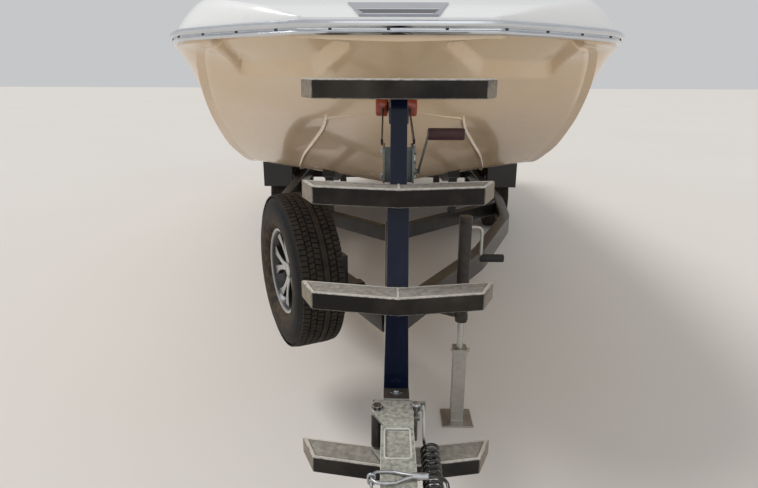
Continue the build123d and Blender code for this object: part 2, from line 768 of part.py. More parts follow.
def make_tongue(vee):
    """The fixed tongue: tube, end plate, hinge sleeve on the left and the low step's hanger."""
    end_y = SPLIT_Y + 3
    half = TONGUE_WIDE / 2
    left = HINGE_X - EAR_OUT
    body = tongue_tube(end_y, VEE_APEX_Y + VEE_WIDE) - vee
    body += block(left, PLATE_HALF, end_y, end_y + 12, TONGUE_LOW, TONGUE_TOP)
    body += block(-BRACKET_WIDE / 2, BRACKET_WIDE / 2, end_y, NOSE_Y + 571, TONGUE_TOP, TONGUE_TOP + HINGE_PLATE)
    low, high = TONGUE_LOW + 5, TONGUE_TOP - 5
    body += rod((HINGE_X, HINGE_Y, low), (HINGE_X, HINGE_Y, high), SLEEVE_R)
    body += block(left, HINGE_X + 10, HINGE_Y, end_y + 6, low, high)
    body -= rod((HINGE_X, HINGE_Y, TONGUE_LOW), (HINGE_X, HINGE_Y, TONGUE_TOP), PIN_R + RUNNING_GAP)
    step_y = NOSE_Y + LOW_STEP_FRONT
    step_low = LOW_STEP_TOP - STEP_TALL
    body += block(-half, half, end_y + 4, end_y + 100, step_low, TONGUE_LOW)
    body += block(-half, half, step_y + 50, end_y + 100, step_low, LOW_STEP_TOP)
    save("tongue", body - chevron(step_y, LOW_STEP_TOP))


def make_swing_tongue():
    """The folding end: tube between two plates with ears round the pin, the lock pin and the cable's gland."""
    half = TONGUE_WIDE / 2
    left = HINGE_X - EAR_OUT
    tube_end = SPLIT_Y - 3
    outline = [(left, HINGE_Y + 34), (left, HINGE_Y - 12), (-half, SWING_FRONT_Y),
               (PLATE_HALF, SWING_FRONT_Y), (PLATE_HALF, tube_end), (HINGE_X - 6, tube_end)]
    top = TONGUE_TOP + HINGE_PLATE
    body = tongue_tube(SWING_FRONT_Y, tube_end)
    body += prism(outline, TONGUE_TOP, top)
    body += prism(outline, TONGUE_LOW - HINGE_PLATE, TONGUE_LOW)
    body += rod((HINGE_X, HINGE_Y, TONGUE_LOW - 5), (HINGE_X, HINGE_Y, top), PIN_R)
    body += rod((HINGE_X, HINGE_Y, top), (HINGE_X, HINGE_Y, top + 11), 15)
    body += block(half, LOCK_X + 12, LOCK_Y - 12, LOCK_Y + 12, TONGUE_TOP - 30, TONGUE_TOP - 20)
    body += rod((LOCK_X, LOCK_Y, TONGUE_LOW + 20), (LOCK_X, LOCK_Y, TONGUE_TOP + 14), 6)
    x0, x1, thick, down = GLAND
    body += block(x0, x1, tube_end - thick, tube_end, TONGUE_TOP - 2 * down, top - 2)
    save("swing_tongue", body)


def make_coupler():
    """The surge-brake coupler: long cover with a sunk panel, rounded nose and ball socket."""
    back = SWING_FRONT_Y - SEAT_GAP
    low, high = COUPLER_TOP - COUPLER_TALL, COUPLER_TOP
    half = COUPLER_WIDE / 2
    profile = [(back, low + 18), (back, high), (NOSE_Y + COUPLER_FLAT, high), (NOSE_Y + 60, high - 34),
               (NOSE_Y, high - 52), (NOSE_Y, low + 16), (NOSE_Y + 30, low), (NOSE_Y + 150, low),
               (NOSE_Y + 190, low + 18)]
    body = side_prism(profile, -half, half)
    plan = make_face(Polyline((-half, NOSE_Y), (half, NOSE_Y), (half, back), (-half, back), close=True))
    body &= Pos(0, 0, low) * extrude(fillet(plan.vertices().sort_by(Axis.Y)[:2], NOSE_R), amount=COUPLER_TALL)
    wide, long, deep = PANEL
    front = NOSE_Y + PANEL_FRONT
    body -= block(-wide / 2, wide / 2, front, front + long, high - deep, high)
    socket_y = NOSE_Y + SOCKET_BACK
    body -= rod((0, socket_y, low - 5), (0, socket_y, low + SOCKET_DEEP), BALL_R)
    body -= Pos(0, socket_y, low + SOCKET_DEEP) * Sphere(BALL_R)
    save("coupler", body)


def place_of(point):
    """A point of a route in the shared frame."""
    x, back, z = point
    return Vector(x, NOSE_Y + back, z)


def make_cable():
    """The breakaway cable: lead, coil and tail end to end, then its ferrule, eye and chain."""
    coil = ThreePointArc(*[place_of(point) for point in COIL_ROUTE])
    section = Plane(origin=coil @ 0, z_dir=coil % 0) * Circle(COIL_R)
    save("cable_coil", sweep(section, path=coil))
    lead = [place_of(point) for point in LEAD_ROUTE] + [coil @ 0 - (coil % 0) * CABLE_RUN, coil @ 0]
    tail = [coil @ 1, coil @ 1 + (coil % 1) * CABLE_RUN] + [place_of(point) for point in TAIL_ROUTE]
    save("cable_lead", tube(lead, CABLE_R), tube(tail, CABLE_R))
    end = tail[-1]
    ferrule = rod(tuple(end), tuple(end - Vector(FERRULE_LONG, 0, 0)), FERRULE_R)
    low = COUPLER_TOP + SEAT_GAP
    plan = make_face(Polyline(*[(x, end.Y + y) for x, y in EYE_PLAN], close=True))
    plan = fillet(plan.vertices().sort_by(Axis.X)[:-2], 9)
    ring = plan - offset(plan, -EYE_THICK)
    save("cable_hook", ferrule + Pos(0, 0, low) * extrude(ring, amount=EYE_THICK))
    save("safety_chain", *chain_links(end.Y, low + EYE_THICK + 2.5))


def chain_links(y, top):
    """Links that hang from the eye's left end, each turned a quarter to the one above, and a ring."""
    outer = SlotOverall(LINK_LONG, LINK_WIDE, rotation=90)
    flat = outer - offset(outer, -2 * LINK_R)
    link = Pos(0, 0, -LINK_R) * extrude(flat, amount=2 * LINK_R)
    pitch = LINK_LONG - 4 * LINK_R - SEAT_GAP
    pieces = []
    for number in range(LINKS):
        z = top + 2 * LINK_R - LINK_LONG / 2 - number * pitch
        turn = 90 * (number % 2)
        pieces.append(Pos(CHAIN_X, y, z) * Rot(0, 0, turn) * Rot(90, 0, 0) * link)
    low = top + 2 * LINK_R - LINK_LONG - (LINKS - 1) * pitch
    z = low + 4 * LINK_R + SEAT_GAP - CHAIN_RING
    ring = Cylinder(CHAIN_RING, 2 * LINK_R) - Cylinder(CHAIN_RING - 2 * LINK_R, 4 * LINK_R)
    pieces.append(Pos(CHAIN_X, y, z) * Rot(90, 0, 0) * ring)
    return pieces


def chevron(front_y, top_z):
    """One tread: swept back from the middle, its ends cut so that the back is wider."""
    sweep_back = tan(radians(STEP_SWEEP))
    points = [(0, 0), (STEP_FRONT_HALF, STEP_FRONT_HALF * sweep_back),
              (STEP_BACK_HALF, STEP_DEPTH + STEP_BACK_HALF * sweep_back), (0, STEP_DEPTH)]
    outline = points + [(-x, y) for x, y in reversed(points[1:3])]
    return Pos(0, front_y, 0) * prism(outline, top_z - STEP_TALL, top_z)


def make_steps():
    treads = [chevron(NOSE_Y + back, top) for back, top in STEP_ROWS]
    save("steps", *treads)
    save("step_low", chevron(NOSE_Y + LOW_STEP_FRONT, LOW_STEP_TOP))
    return treads


def post_side(z0, z1, deep, wide):
    """A stretch of the raked post between two heights."""
    outline = [(post_front(z0), z0), (post_front(z1), z1), (post_front(z1) + deep, z1), (post_front(z0) + deep, z0)]
    return side_prism(outline, -wide / 2, wide / 2)


def make_post(treads):
    """The winch post: spread foot, wide lower tube and narrow raked mast."""
    rings = []
    for z, wide in ((TONGUE_TOP, POST_FOOT_WIDE), (POST_KNEE_Z, POST_WIDE)):
        x, y0 = wide / 2, post_front(z)
        corners = [(-x, y0, z), (x, y0, z), (x, y0 + POST_DEEP, z), (-x, y0 + POST_DEEP, z)]
        rings.append(Wire(Polyline(*corners, close=True).edges()))
    post = Solid.make_loft(rings, ruled=True)
    post += post_side(POST_KNEE_Z, POST_JOIN_Z, POST_DEEP, POST_WIDE)
    post += post_side(POST_JOIN_Z - 30, MAST_TOP_Z, MAST_DEEP, MAST_WIDE)
    foot_y = post_front(TONGUE_TOP)
    post += block(-TONGUE_WIDE / 2, TONGUE_WIDE / 2, foot_y, foot_y + 170, TONGUE_TOP, TONGUE_TOP + 8)
    for tread in treads:
        post -= tread
    return post


def stop_centre():
    """Centre of the bow stop roller, set against the stem."""
    aft, slope = keel_point(STOP_Z)
    back = (STOP_R + SEAT_GAP) / sin(slope)
    return STEM_Y + aft - back, STOP_Z


def make_bow_stop(post):
    """Twin-ended roller and its arm on the post."""
    y, z = stop_centre()
    roller = rod((-STOP_LONG / 2, y, z), (-32, y, z), STOP_R) + rod((32, y, z), (STOP_LONG / 2, y, z), STOP_R)
    roller += rod((-STOP_LONG / 2, y, z), (STOP_LONG / 2, y, z), 12)
    save("bow_stop", roller)
    arm = block(-30, 30, post_front(z) + MAST_DEEP / 2, y + 20, z - 25, z + 25)
    arm -= rod((-90, y, z), (90, y, z), 12 + SEAT_GAP)
    save("winch_post", post + arm)


def make_winch(post):
    z = WINCH_Z
    back = post_front(z) + MAST_DEEP
    frame = block(-48, -42, back - 20, back + 110, z - 60, z + 50)
    frame += block(42, 48, back - 20, back + 110, z - 60, z + 50)
    frame += block(-48, 48, back + 6, back + 12, z - 60, z + 50)
    drum = rod((-42, back + 62, z), (42, back + 62, z), DRUM_R)
    gear = rod((48, back + 62, z), (56, back + 62, z), 46)
    crank = rod((48, back + 30, z - 30), (70, back + 30, z - 30), 8)
    crank += beam((64, back + 30, z - 30), (92, back - 10, z + 95), 18, 6, (0, 1, 0))
    grip = rod((88, back - 10, z + 92), (200, back - 10, z + 92), 17)
    save("winch", frame + drum + gear + crank + grip - post)
    return Vector(0, back + 62, z)


def make_winch_strap(drum):
    """The webbing from the winch drum to the bow eye, pulled tight."""
    aft, slope = keel_point(EYE_Z)
    eye = Vector(0, STEM_Y + aft - sin(slope) * EYE_OUT, EYE_Z - cos(slope) * EYE_OUT)
    toward = (eye - drum).normalized()
    across = Vector(0, -toward.Z, toward.Y)
    start = drum - across * (DRUM_R + 2 + SEAT_GAP)
    end = eye - toward * 60
    strap = beam(tuple(start), tuple(end), STRAP_WIDE, 4, (1, 0, 0))
    half = STRAP_WIDE / 2
    shackle = rod((-half - 6, end.Y, end.Z), (half + 6, end.Y, end.Z), 9)
    shackle += rod((-half, eye.Y, eye.Z), (half, eye.Y, eye.Z), 8)
    for side in (-1, 1):
        x = Vector(side * (half - 4), 0, 0)
        shackle += beam(tuple(end + x), tuple(eye + x + toward * 10), 8, 18, (1, 0, 0))
    save("winch_strap", strap + shackle)


def make_axle_set():
    """Both torsion axles with their arms, hubs and spindles."""
    beams = []
    top = FRAME_TOP - FRAME_DEEP
    half = AXLE_TUBE / 2
    for side_y in (-1, 1):
        y = AXLE_MID_Y + side_y * AXLE_SPREAD / 2
        pivot = y - ARM_LONG
        tube = block(-AXLE_HALF, AXLE_HALF, pivot - half, pivot + half, top - AXLE_TUBE, top)
        for side in (-1, 1):
            arm = beam((side * ARM_X, pivot, top - half), (side * ARM_X, y, TYRE_R), 46, 66, (1, 0, 0))
            arm += rod((side * (AXLE_HALF + 2), y, TYRE_R), (side * HUB_FACE_X, y, TYRE_R), 45)
            arm += rod((side * (AXLE_HALF - 20), pivot, top - half), (side * HUB_FACE_X, pivot, top - half), 36)
            spindle = rod((side * (HUB_FACE_X - 8), y, TYRE_R), (side * (WHEEL_X + 45), y, TYRE_R), SPINDLE_R)
            tube += arm + spindle
        beams.append(tube)
    save("axles", *beams)


def tyre_solid():
    """A tyre about its own Z axis, centred."""
    half = TYRE_WIDE / 2
    rows = [(RIM_R + 22, half - 12), (RIM_R + 80, half), (TYRE_R - 28, half - 14), (TYRE_R, half - 36)]
    profile = [(r, -w) for r, w in rows] + [(r, w) for r, w in reversed(rows)]
    return ring_of(profile) - ring_of([(RIM_R + SEAT_GAP, -half), (RIM_R + SEAT_GAP, half)])


def rim_solid(bore):
    """An alloy rim about its own Z axis, its five split spokes towards +Z."""
    half = RIM_WIDE / 2
    wheel = ring_of([(RIM_R, -half), (RIM_R, half)])
    wheel -= ring_of([(RIM_R - 20, -half - 1), (RIM_R - 34, 0), (RIM_R - 26, half - 30), (RIM_R - 12, half + 1)])
    wheel += Pos(0, 0, 20) * Cylinder(HUB_R, 70)
    reach = RIM_R - 14
    spoke = [(HUB_R - 12, 3), (reach, 14), (reach, 38), (HUB_R - 12, 24)]
    for number in range(SPOKES):
        for side in (-1, 1):
            points = [(x, side * y) for x, y in spoke]
            wheel += Rot(0, 0, 360 / SPOKES * number) * prism(points, SPOKE_FACE - SPOKE_THICK, SPOKE_FACE)
    if bore:
        wheel -= Cylinder(bore, 400)
        wheel += Pos(0, 0, 56) * Cylinder(34, 8)
    return wheel


def make_wheels():
    for end, side_y in (("front", -1), ("rear", 1)):
        for hand, side in (("left", -1), ("right", 1)):
            place = Location((side * WHEEL_X, AXLE_MID_Y + side_y * AXLE_SPREAD / 2, TYRE_R)) * Rot(0, 90 * side, 0)
            save(f"tyre_{end}_{hand}", place * tyre_solid())
            save(f"rim_{end}_{hand}", place * rim_solid(SPINDLE_R + RUNNING_GAP))


def make_spare():
    place = Location((SPARE_X, SPARE_Y, SPARE_Z)) * Rot(0, 0, SPARE_YAW) * Rot(0, -90, 0)
    save("spare_tyre", place * tyre_solid())
    save("spare_rim", place * rim_solid(0))
    yaw = radians(SPARE_YAW)
    inward = Vector(cos(yaw), sin(yaw), 0)
    centre = Vector(SPARE_X, SPARE_Y, SPARE_Z)
    hub_back = centre + inward * 15.3
    post_at = centre + inward * 205
    foot = Vector(post_at.X, post_at.Y, FRAME_TOP - 30)
    arm = rod(tuple(hub_back), tuple(post_at), 30)
    arm += beam(tuple(foot), tuple(Vector(post_at.X, post_at.Y, SPARE_Z + 40)), 60, 60, tuple(inward))
    arm += beam(tuple(foot + Vector(0, 0, 30)), tuple(foot + Vector(0, 0, 30) + inward * 120), 60, 60, (0, 0, 1))
    return arm


def make_fenders():
    """Box fenders over both wheels: tread top, deep ends and an arched side."""
    p = FENDER_PLATE
    outer = block(FENDER_IN_X, FENDER_OUT_X, FENDER_FRONT_Y, FENDER_REAR_Y, FENDER_TOP - FENDER_SKIRT, FENDER_TOP)
    inner = block(FENDER_IN_X - 10, FENDER_OUT_X - p, FENDER_FRONT_Y + p, FENDER_REAR_Y - p, 0, FENDER_TOP - p)
    side_cut = block(FENDER_IN_X, FENDER_OUT_X + 10, FENDER_FRONT_Y + 60, FENDER_REAR_Y - 60, 0,
                     FENDER_TOP - FENDER_SIDE)
    right = outer - inner - side_cut
    for y in (AXLE_MID_Y - FENDER_STAY, AXLE_MID_Y + FENDER_STAY):
        right += block(RAIL_OUT_X, FENDER_IN_X + 10, y - 40, y + 40, FRAME_TOP - FRAME_DEEP + 20, FENDER_TOP - p)
    save("fender_right", right)
    save("fender_left", flipped(right))


def make_cross_members(right_rail):
    """The vee-shaped front member and two straight ones."""
    low, high = VEE_TOP - VEE_DEEP, VEE_TOP
    points = [(0, VEE_APEX_Y), (VEE_REACH, VEE_END_Y), (VEE_REACH, VEE_END_Y + VEE_WIDE),
              (0, VEE_APEX_Y + VEE_WIDE)]
    outline = points + [(-x, y) for x, y in reversed(points[1:3])]
    vee = prism(outline, low, high) - right_rail - flipped(right_rail)
    save("vee_member", vee)
    reach = RAIL_PATH[-1][0] - FRAME_WIDE / 2
    for name, y in (("cross_mid", CROSS_MID_Y), ("cross_rear", CROSS_REAR_Y)):
        y0, y1 = y - CROSS_WIDE / 2, y + CROSS_WIDE / 2
        bar = block(-reach, reach, y0, y1, CROSS_TOP - CROSS_DEEP, CROSS_TOP)
        for side in (-1, 1):
            bar += block(side * reach, side * (reach - CROSS_EAR), y0, y1, CROSS_TOP - CROSS_DEEP, FRAME_TOP - 20)
        save(name, bar)
    return vee


def bottom_z(y, x):
    """Height of the hull's bottom between keel and strake."""
    aft = y - STEM_Y
    keel, strake = hull_value(aft, "keel_z"), hull_value(aft, "strake_z")
    return keel + (strake - keel) * x / hull_value(aft, "strake_x")


def make_bunks(hull):
    """Padded bunks cut to the bottom of the hull, on posts from the cross members."""
    places = [BUNK_START_Y] + [STEM_Y + row["aft"] for row in STATIONS] + [BUNK_END_Y]
    places = sorted(y for y in places if BUNK_START_Y <= y <= BUNK_END_Y)
    inner, outer = BUNK_X - BUNK_WIDE / 2, BUNK_X + BUNK_WIDE / 2
    low = [(y, bottom_z(y, inner) - BUNK_DEEP) for y in places]
    high = [(y, bottom_z(y, outer) + BUNK_DEEP) for y in reversed(places)]
    right = side_prism(low + high, inner, outer) - hull
    vee_y = VEE_APEX_Y + BUNK_X / VEE_REACH * (VEE_END_Y - VEE_APEX_Y) + VEE_WIDE / 2
    half = BUNK_POST / 2
    for y, base in ((vee_y, VEE_TOP), (CROSS_MID_Y, CROSS_TOP), (CROSS_REAR_Y, CROSS_TOP)):
        right += block(BUNK_X - half, BUNK_X + half, y - half, y + half, base, bottom_z(y, inner) - BUNK_DEEP / 2)
    save("bunk_right", right)
    save("bunk_left", flipped(right))


def make_jack(right_rail):
    """Screw jack: outer tube with its mount, sliding leg with foot, and crank."""
    tube = rod((JACK_X, JACK_Y, JACK_TUBE_LOW), (JACK_X, JACK_Y, JACK_TOP), JACK_R)
    tube -= rod((JACK_X, JACK_Y, JACK_TUBE_LOW - 10), (JACK_X, JACK_Y, JACK_TOP - JACK_CAP), JACK_RAM_R + RUNNING_GAP)
    first, second = [Vector(*point) for point in rail_points()[:2]]
    along = (second - first).normalized()
    inward = Vector(-along.Y, along.X)
    jack = Vector(JACK_X, JACK_Y)
    reach = (jack - first).dot(Vector(along.Y, -along.X)) - FRAME_WIDE / 2
    z = FRAME_TOP
    start, end = jack + inward * (JACK_R - 6), jack + inward * reach
    mount = beam((start.X, start.Y, z), (end.X, end.Y, z), JACK_MOUNT_TALL, 60, (0, 0, 1))
    tube += mount
    tube -= right_rail
    save("jack_tube", tube)
    ram_top = JACK_TOP - JACK_CAP - JACK_TRAVEL - MOVING_GAP
    ram = rod((JACK_X, JACK_Y, JACK_LEG_TOP - 20), (JACK_X, JACK_Y, ram_top), JACK_RAM_R)
    leg = block(JACK_X - JACK_LEG / 2, JACK_X + JACK_LEG / 2, JACK_Y - JACK_LEG / 2, JACK_Y + JACK_LEG / 2,
                JACK_FOOT_THICK, JACK_LEG_TOP)
    foot = block(JACK_X - JACK_FOOT / 2, JACK_X + JACK_FOOT / 2, JACK_Y - JACK_FOOT / 2, JACK_Y + JACK_FOOT / 2,
                 0, JACK_FOOT_THICK)
    save("jack_leg", ram + leg + foot)
    x = JACK_X + JACK_R
    out = x + CRANK_OUT
    crank = rod((x, JACK_Y, JACK_TOP - 50), (out + 4, JACK_Y, JACK_TOP - 50), 8)
    crank += rod((out, JACK_Y, JACK_TOP - 46), (out, JACK_Y, JACK_TOP - 200), 8)
    crank += rod((out - 6, JACK_Y, JACK_TOP - 195), (x + 150, JACK_Y, JACK_TOP - 195), 18)
    save("jack_crank", crank)


def make_lamps():
    lamps = []
    for side in (-1, 1):
        x = side * RAIL_PATH[-1][0]
        lamps.append(block(x - 75, x + 75, RAIL_END_Y, RAIL_END_Y + 45, FRAME_TOP - 110, FRAME_TOP - 30))
    save("tail_lamps", *lamps)


def main():
    hull, deck = make_hull_and_deck()
    make_rub_rail()
    make_nose_plate()
    make_hardware(deck)
    make_bow_cushions()
    make_lounge_cushions()
    make_driver_seat()
    make_consoles(hull, deck)
    make_steering_wheel()
    make_windshield(deck)
    make_engine()
    make_hatch()
    make_platform()
    strut, fins = make_running_gear()
    save("strut_and_fins", strut - hull, *[fin - hull for fin in fins])
    make_propeller()
    make_rudder()
    right_rail = make_rails(tongue_tube(SPLIT_Y, TRANSOM_Y))
    vee = make_cross_members(right_rail)
    make_tongue(vee)
    make_swing_tongue()
    make_coupler()
    make_cable()
    post = make_post(make_steps())
    make_bow_stop(post)
    make_winch_strap(make_winch(post))
    make_axle_set()
    make_wheels()
    save("spare_carrier", make_spare() - right_rail.mirror(Plane.YZ))
    make_fenders()
    make_bunks(hull)
    make_jack(right_rail)
    make_lamps()


main()
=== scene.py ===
# %% [markdown]
# # A speedboat on its trailer
# The CAD pack gives every rigid piece at its real place, in metres. This file adds what the
# eye asks for: smooth hull skins, tyre tread, stitched cushions, cables, and a finish for every
# surface. Each step says what the piece is, and why it is made in the way it is.

# %% The frame
import json
import math

import bmesh
import bpy
from mathutils import Matrix, Vector

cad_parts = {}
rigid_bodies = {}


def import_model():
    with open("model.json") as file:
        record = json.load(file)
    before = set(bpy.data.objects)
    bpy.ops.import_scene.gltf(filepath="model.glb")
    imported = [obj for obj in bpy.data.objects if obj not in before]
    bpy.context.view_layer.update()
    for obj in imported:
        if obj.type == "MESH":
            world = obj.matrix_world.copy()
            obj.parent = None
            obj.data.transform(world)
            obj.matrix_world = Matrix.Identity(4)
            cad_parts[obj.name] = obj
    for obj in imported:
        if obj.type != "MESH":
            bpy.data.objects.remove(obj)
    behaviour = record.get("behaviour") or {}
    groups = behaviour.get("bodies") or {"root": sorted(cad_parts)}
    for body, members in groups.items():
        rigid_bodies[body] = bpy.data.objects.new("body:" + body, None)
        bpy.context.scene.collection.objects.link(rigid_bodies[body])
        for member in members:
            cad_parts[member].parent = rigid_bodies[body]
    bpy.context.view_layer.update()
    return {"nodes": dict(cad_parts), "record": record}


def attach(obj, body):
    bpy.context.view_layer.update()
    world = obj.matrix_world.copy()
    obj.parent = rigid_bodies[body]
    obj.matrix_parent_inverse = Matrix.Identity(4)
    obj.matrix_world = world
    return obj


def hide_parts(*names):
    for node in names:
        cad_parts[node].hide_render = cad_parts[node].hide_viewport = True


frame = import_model()
NODES = frame["nodes"]

# %% [markdown]
# ## Camera
# The boat was seen from a person's eye height, a metre ahead of the coupler, looking a little
# down. A real camera has a pitch, a small turn and a small roll, so its axes are built from
# those three angles instead of from a target point.

# %% Camera
PHOTO_WIDE = 758
FOCAL_PIXELS = 560
SENSOR = 36.0
SEES_TO = 200
EYE = Vector((-0.038, -5.25, 1.64))
PITCH, YAW, ROLL = (math.radians(a) for a in (17.0, 0.7, 0.2))

scene = bpy.context.scene
level = Vector((math.cos(YAW), math.sin(YAW), 0))
ahead = Vector((-math.sin(YAW) * math.cos(PITCH), math.cos(YAW) * math.cos(PITCH), -math.sin(PITCH)))
above = level.cross(ahead)
right = level * math.cos(ROLL) + above * math.sin(ROLL)
up = above * math.cos(ROLL) - level * math.sin(ROLL)
camera = bpy.data.objects.new("camera", bpy.data.cameras.new("camera"))
camera.data.sensor_width = SENSOR
camera.data.lens = FOCAL_PIXELS / PHOTO_WIDE * SENSOR
camera.data.clip_end = SEES_TO
camera.matrix_world = Matrix.Translation(EYE) @ Matrix((right, up, -ahead)).transposed().to_4x4()
scene.collection.objects.link(camera)
scene.camera = camera
print("lens", round(camera.data.lens, 2))

# %% [markdown]
# ## Light
# The sun stood high on the left, a little behind the bow, so the steps shine on top and their
# fronts stay dark. The studio keeps that: one broad soft sun from the same side, a pale sky all
# round, and a weak lamp from the front that keeps black paint readable.

# %% Light
SKY = (0.94, 0.95, 0.97, 1)
SKY_LEVEL = 0.60
SUNS = [  # name, direction that it shines from, softness in degrees, strength
    ("key", (-0.55, 0.10, 0.83), 24, 1.45),
    ("front", (0.2, -0.9, 0.45), 60, 0.50),
]
scene.view_settings.view_transform = "Standard"
scene.world = bpy.data.worlds.new("studio")
scene.world.use_nodes = True
background = scene.world.node_tree.nodes["Background"]
background.inputs[0].default_value = SKY
background.inputs[1].default_value = SKY_LEVEL
for name, toward, softness, strength in SUNS:
    light = bpy.data.lights.new(name, "SUN")
    light.angle, light.energy = math.radians(softness), strength
    sun = bpy.data.objects.new(name, light)
    sun.rotation_mode = "QUATERNION"
    sun.rotation_quaternion = Vector(toward).to_track_quat("Z", "Y")
    scene.collection.objects.link(sun)

# %% [markdown]
# ## Shader sums
# Node trees are hard to read, sums are not. This class wraps one output socket, and arithmetic
# on it adds the Math nodes. Every other node comes from `add`.


# %% Shader helper
class Sock:
    """One output socket of a node tree, with arithmetic."""

    def __init__(self, tree, socket):
        self.tree, self.socket = tree, socket

    def add(self, kind, settings=None, inputs=None, out=0):
        """A new node: its settings first, then the values or links of its sockets."""
        node = self.tree.nodes.new(kind)
        for name, value in (settings or {}).items():
            setattr(node, name, value)
        for name, value in (inputs or {}).items():
            if isinstance(value, Sock):
                self.tree.links.new(value.socket, node.inputs[name])
            else:
                node.inputs[name].default_value = value
        return Sock(self.tree, node.outputs[out])

    def math(self, operation, first, second=0.0, third=0.0, clamp=False):
        """One Math node."""
        return self.add("ShaderNodeMath", {"operation": operation, "use_clamp": clamp},
                        {0: first, 1: second, 2: third})

    def __add__(self, other):
        return self.math("ADD", self, other)

    def __sub__(self, other):
        return self.math("SUBTRACT", self, other)

    def __rsub__(self, other):
        return self.math("SUBTRACT", other, self)

    def __mul__(self, other):
        return self.math("MULTIPLY", self, other)

    def __gt__(self, other):
        return self.math("GREATER_THAN", self, other)

    def alone(self, operation):
        """A Math node that needs this number only, such as SINE."""
        return self.math(operation, self)

    def most(self, other):
        """The greater of two numbers."""
        return self.math("MAXIMUM", self, other)

    def between(self, low, high):
        """0 below low, 1 above high, a straight ramp between them."""
        ends = {"Value": self, "From Min": low, "From Max": high}
        return self.add("ShaderNodeMapRange", {"clamp": True}, ends)

    def tint(self, dark, light):
        """A colour that goes from dark to light as this number goes from 0 to 1."""
        return self.add("ShaderNodeMix", {"data_type": "RGBA"}, {0: self, 6: dark, 7: light}, out=2)

    def axis(self, name):
        """One coordinate of a vector."""
        return self.add("ShaderNodeSeparateXYZ", None, {0: self}, out="XYZ".index(name))

    def stretched(self, x, y, z):
        """The vector scaled along each axis."""
        return self.add("ShaderNodeVectorMath", {"operation": "MULTIPLY"}, {0: self, 1: (x, y, z)})

    def noise(self, size, detail=3.0, rough=0.55):
        """Soft noise from 0 to 1 whose lumps are about size metres."""
        return self.add("ShaderNodeTexNoise", None,
                        {"Vector": self, "Scale": 1 / size, "Detail": detail, "Roughness": rough})

    def relief(self, depth, strength=1.0):
        """A normal that rises by depth metres where this number is 1."""
        return self.add("ShaderNodeBump", None, {"Height": self, "Distance": depth, "Strength": strength})


FINISHES = {}


def finish(name):
    """A new material: its shader, and its coordinates in metres on the object."""
    material = FINISHES[name] = bpy.data.materials.new(name)
    material.use_nodes = True
    tree = material.node_tree
    where = Sock(tree, tree.nodes.new("ShaderNodeTexCoord").outputs["Object"])
    return tree.nodes["Principled BSDF"], where


def feed(shader, **sockets):
    """Sets the shader's sockets; an underscore in a name stands for a space."""
    for name, value in sockets.items():
        socket = shader.inputs[name.replace("_", " ")]
        if isinstance(value, Sock):
            value.tree.links.new(value.socket, socket)
        else:
            socket.default_value = value


# %% [markdown]
# ## The cable, before anything else
# A coiled safety cable leaves a gland on the folding tongue, winds beside the coupler, and ends
# in a ferrule with an eye. A real one is one length of cable, so it is one spline here too: the
# lead, the turns of the coil and the tail are points of the same curve. The points of lead and
# tail are those that the solid follows, and the turns go round the solid coil's own arc.

# %% Cable
NOSE_Y = -4.2
CABLE_R = 0.0045
COIL_R = 0.030
TURNS = 10
TURN_POINTS = 14
FIRST_ANGLE = 0.9
END_RUN = 0.046
LEAD_ROUTE = [(0.084, 0.491, 0.636), (0.084, 0.460, 0.636)]
COIL_ROUTE = [(0.095, 0.404, 0.588), (0.098, 0.270, 0.560), (0.094, 0.132, 0.566)]
TAIL_ROUTE = [(0.100, 0.070, 0.604), (0.124, 0.092, 0.642), (0.122, 0.140, 0.660), (0.076, 0.140, 0.660)]


def at_nose(x, back, z):
    """A point given as across, behind the nose and above ground."""
    return Vector((x, NOSE_Y + back, z))


def arc_through(a, b, c):
    """Place and direction on the circle through three points, from 0 at a to 1 at c."""
    normal = (b - a).cross(c - a).normalized()
    middle_ab, middle_ac = (a + b) / 2, (a + c) / 2
    across_ab, across_ac = normal.cross(b - a), normal.cross(c - a)
    step = middle_ac - middle_ab
    reach = step.cross(across_ac).dot(normal) / across_ab.cross(across_ac).dot(normal)
    centre = middle_ab + across_ab * reach
    turn = (a - centre).angle(b - centre) + (b - centre).angle(c - centre)

    def on_arc(share):
        arm = Matrix.Rotation(turn * share, 3, normal) @ (a - centre)
        return centre + arm, normal.cross(arm).normalized(), normal

    return on_arc, turn * (a - centre).length


def round_cord(name, points, radius):
    """A cord as one NURBS spline with these control points, each of which carries its radius."""
    data = bpy.data.curves.new(name, "CURVE")
    data.dimensions = "3D"
    data.bevel_depth = 1
    data.bevel_resolution = 3
    data.resolution_u = 6
    data.use_fill_caps = True
    spline = data.splines.new("NURBS")
    spline.points.add(len(points) - 1)
    for spot, point in zip(spline.points, points):
        spot.co = (*point, 1)
        spot.radius = radius
    spline.order_u = 3
    spline.use_endpoint_u = True
    thing = bpy.data.objects.new(name, data)
    scene.collection.objects.link(thing)
    return thing


coil_at, coil_long = arc_through(*[at_nose(*point) for point in COIL_ROUTE])
wind_r = COIL_R - CABLE_R
step_long = 2 * math.pi * wind_r / TURN_POINTS
count = TURN_POINTS * TURNS
ease = END_RUN / step_long
slopes = [max(0.0, 1 - number / ease, 1 - (count - number) / ease) * math.pi / 2 for number in range(count + 1)]
axial = [step_long * math.sin(slope) for slope in slopes]
pitch = (coil_long - sum(axial)) / count
cable_points = [at_nose(*point) for point in LEAD_ROUTE]
run, angle = 0.0, FIRST_ANGLE
for slope, forward in zip(slopes, axial):
    centre, way, sideways = coil_at(min(1.0, max(0.0, run / coil_long)))
    cable_points.append(centre + sideways * (math.cos(angle) * wind_r)
                        + way.cross(sideways) * (math.sin(angle) * wind_r))
    run += forward + pitch
    angle += step_long * math.cos(slope) / wind_r
cable_points += [at_nose(*point) for point in TAIL_ROUTE]
cable = round_cord("breakaway_cable", cable_points, CABLE_R)
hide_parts("cable_lead", "cable_coil")
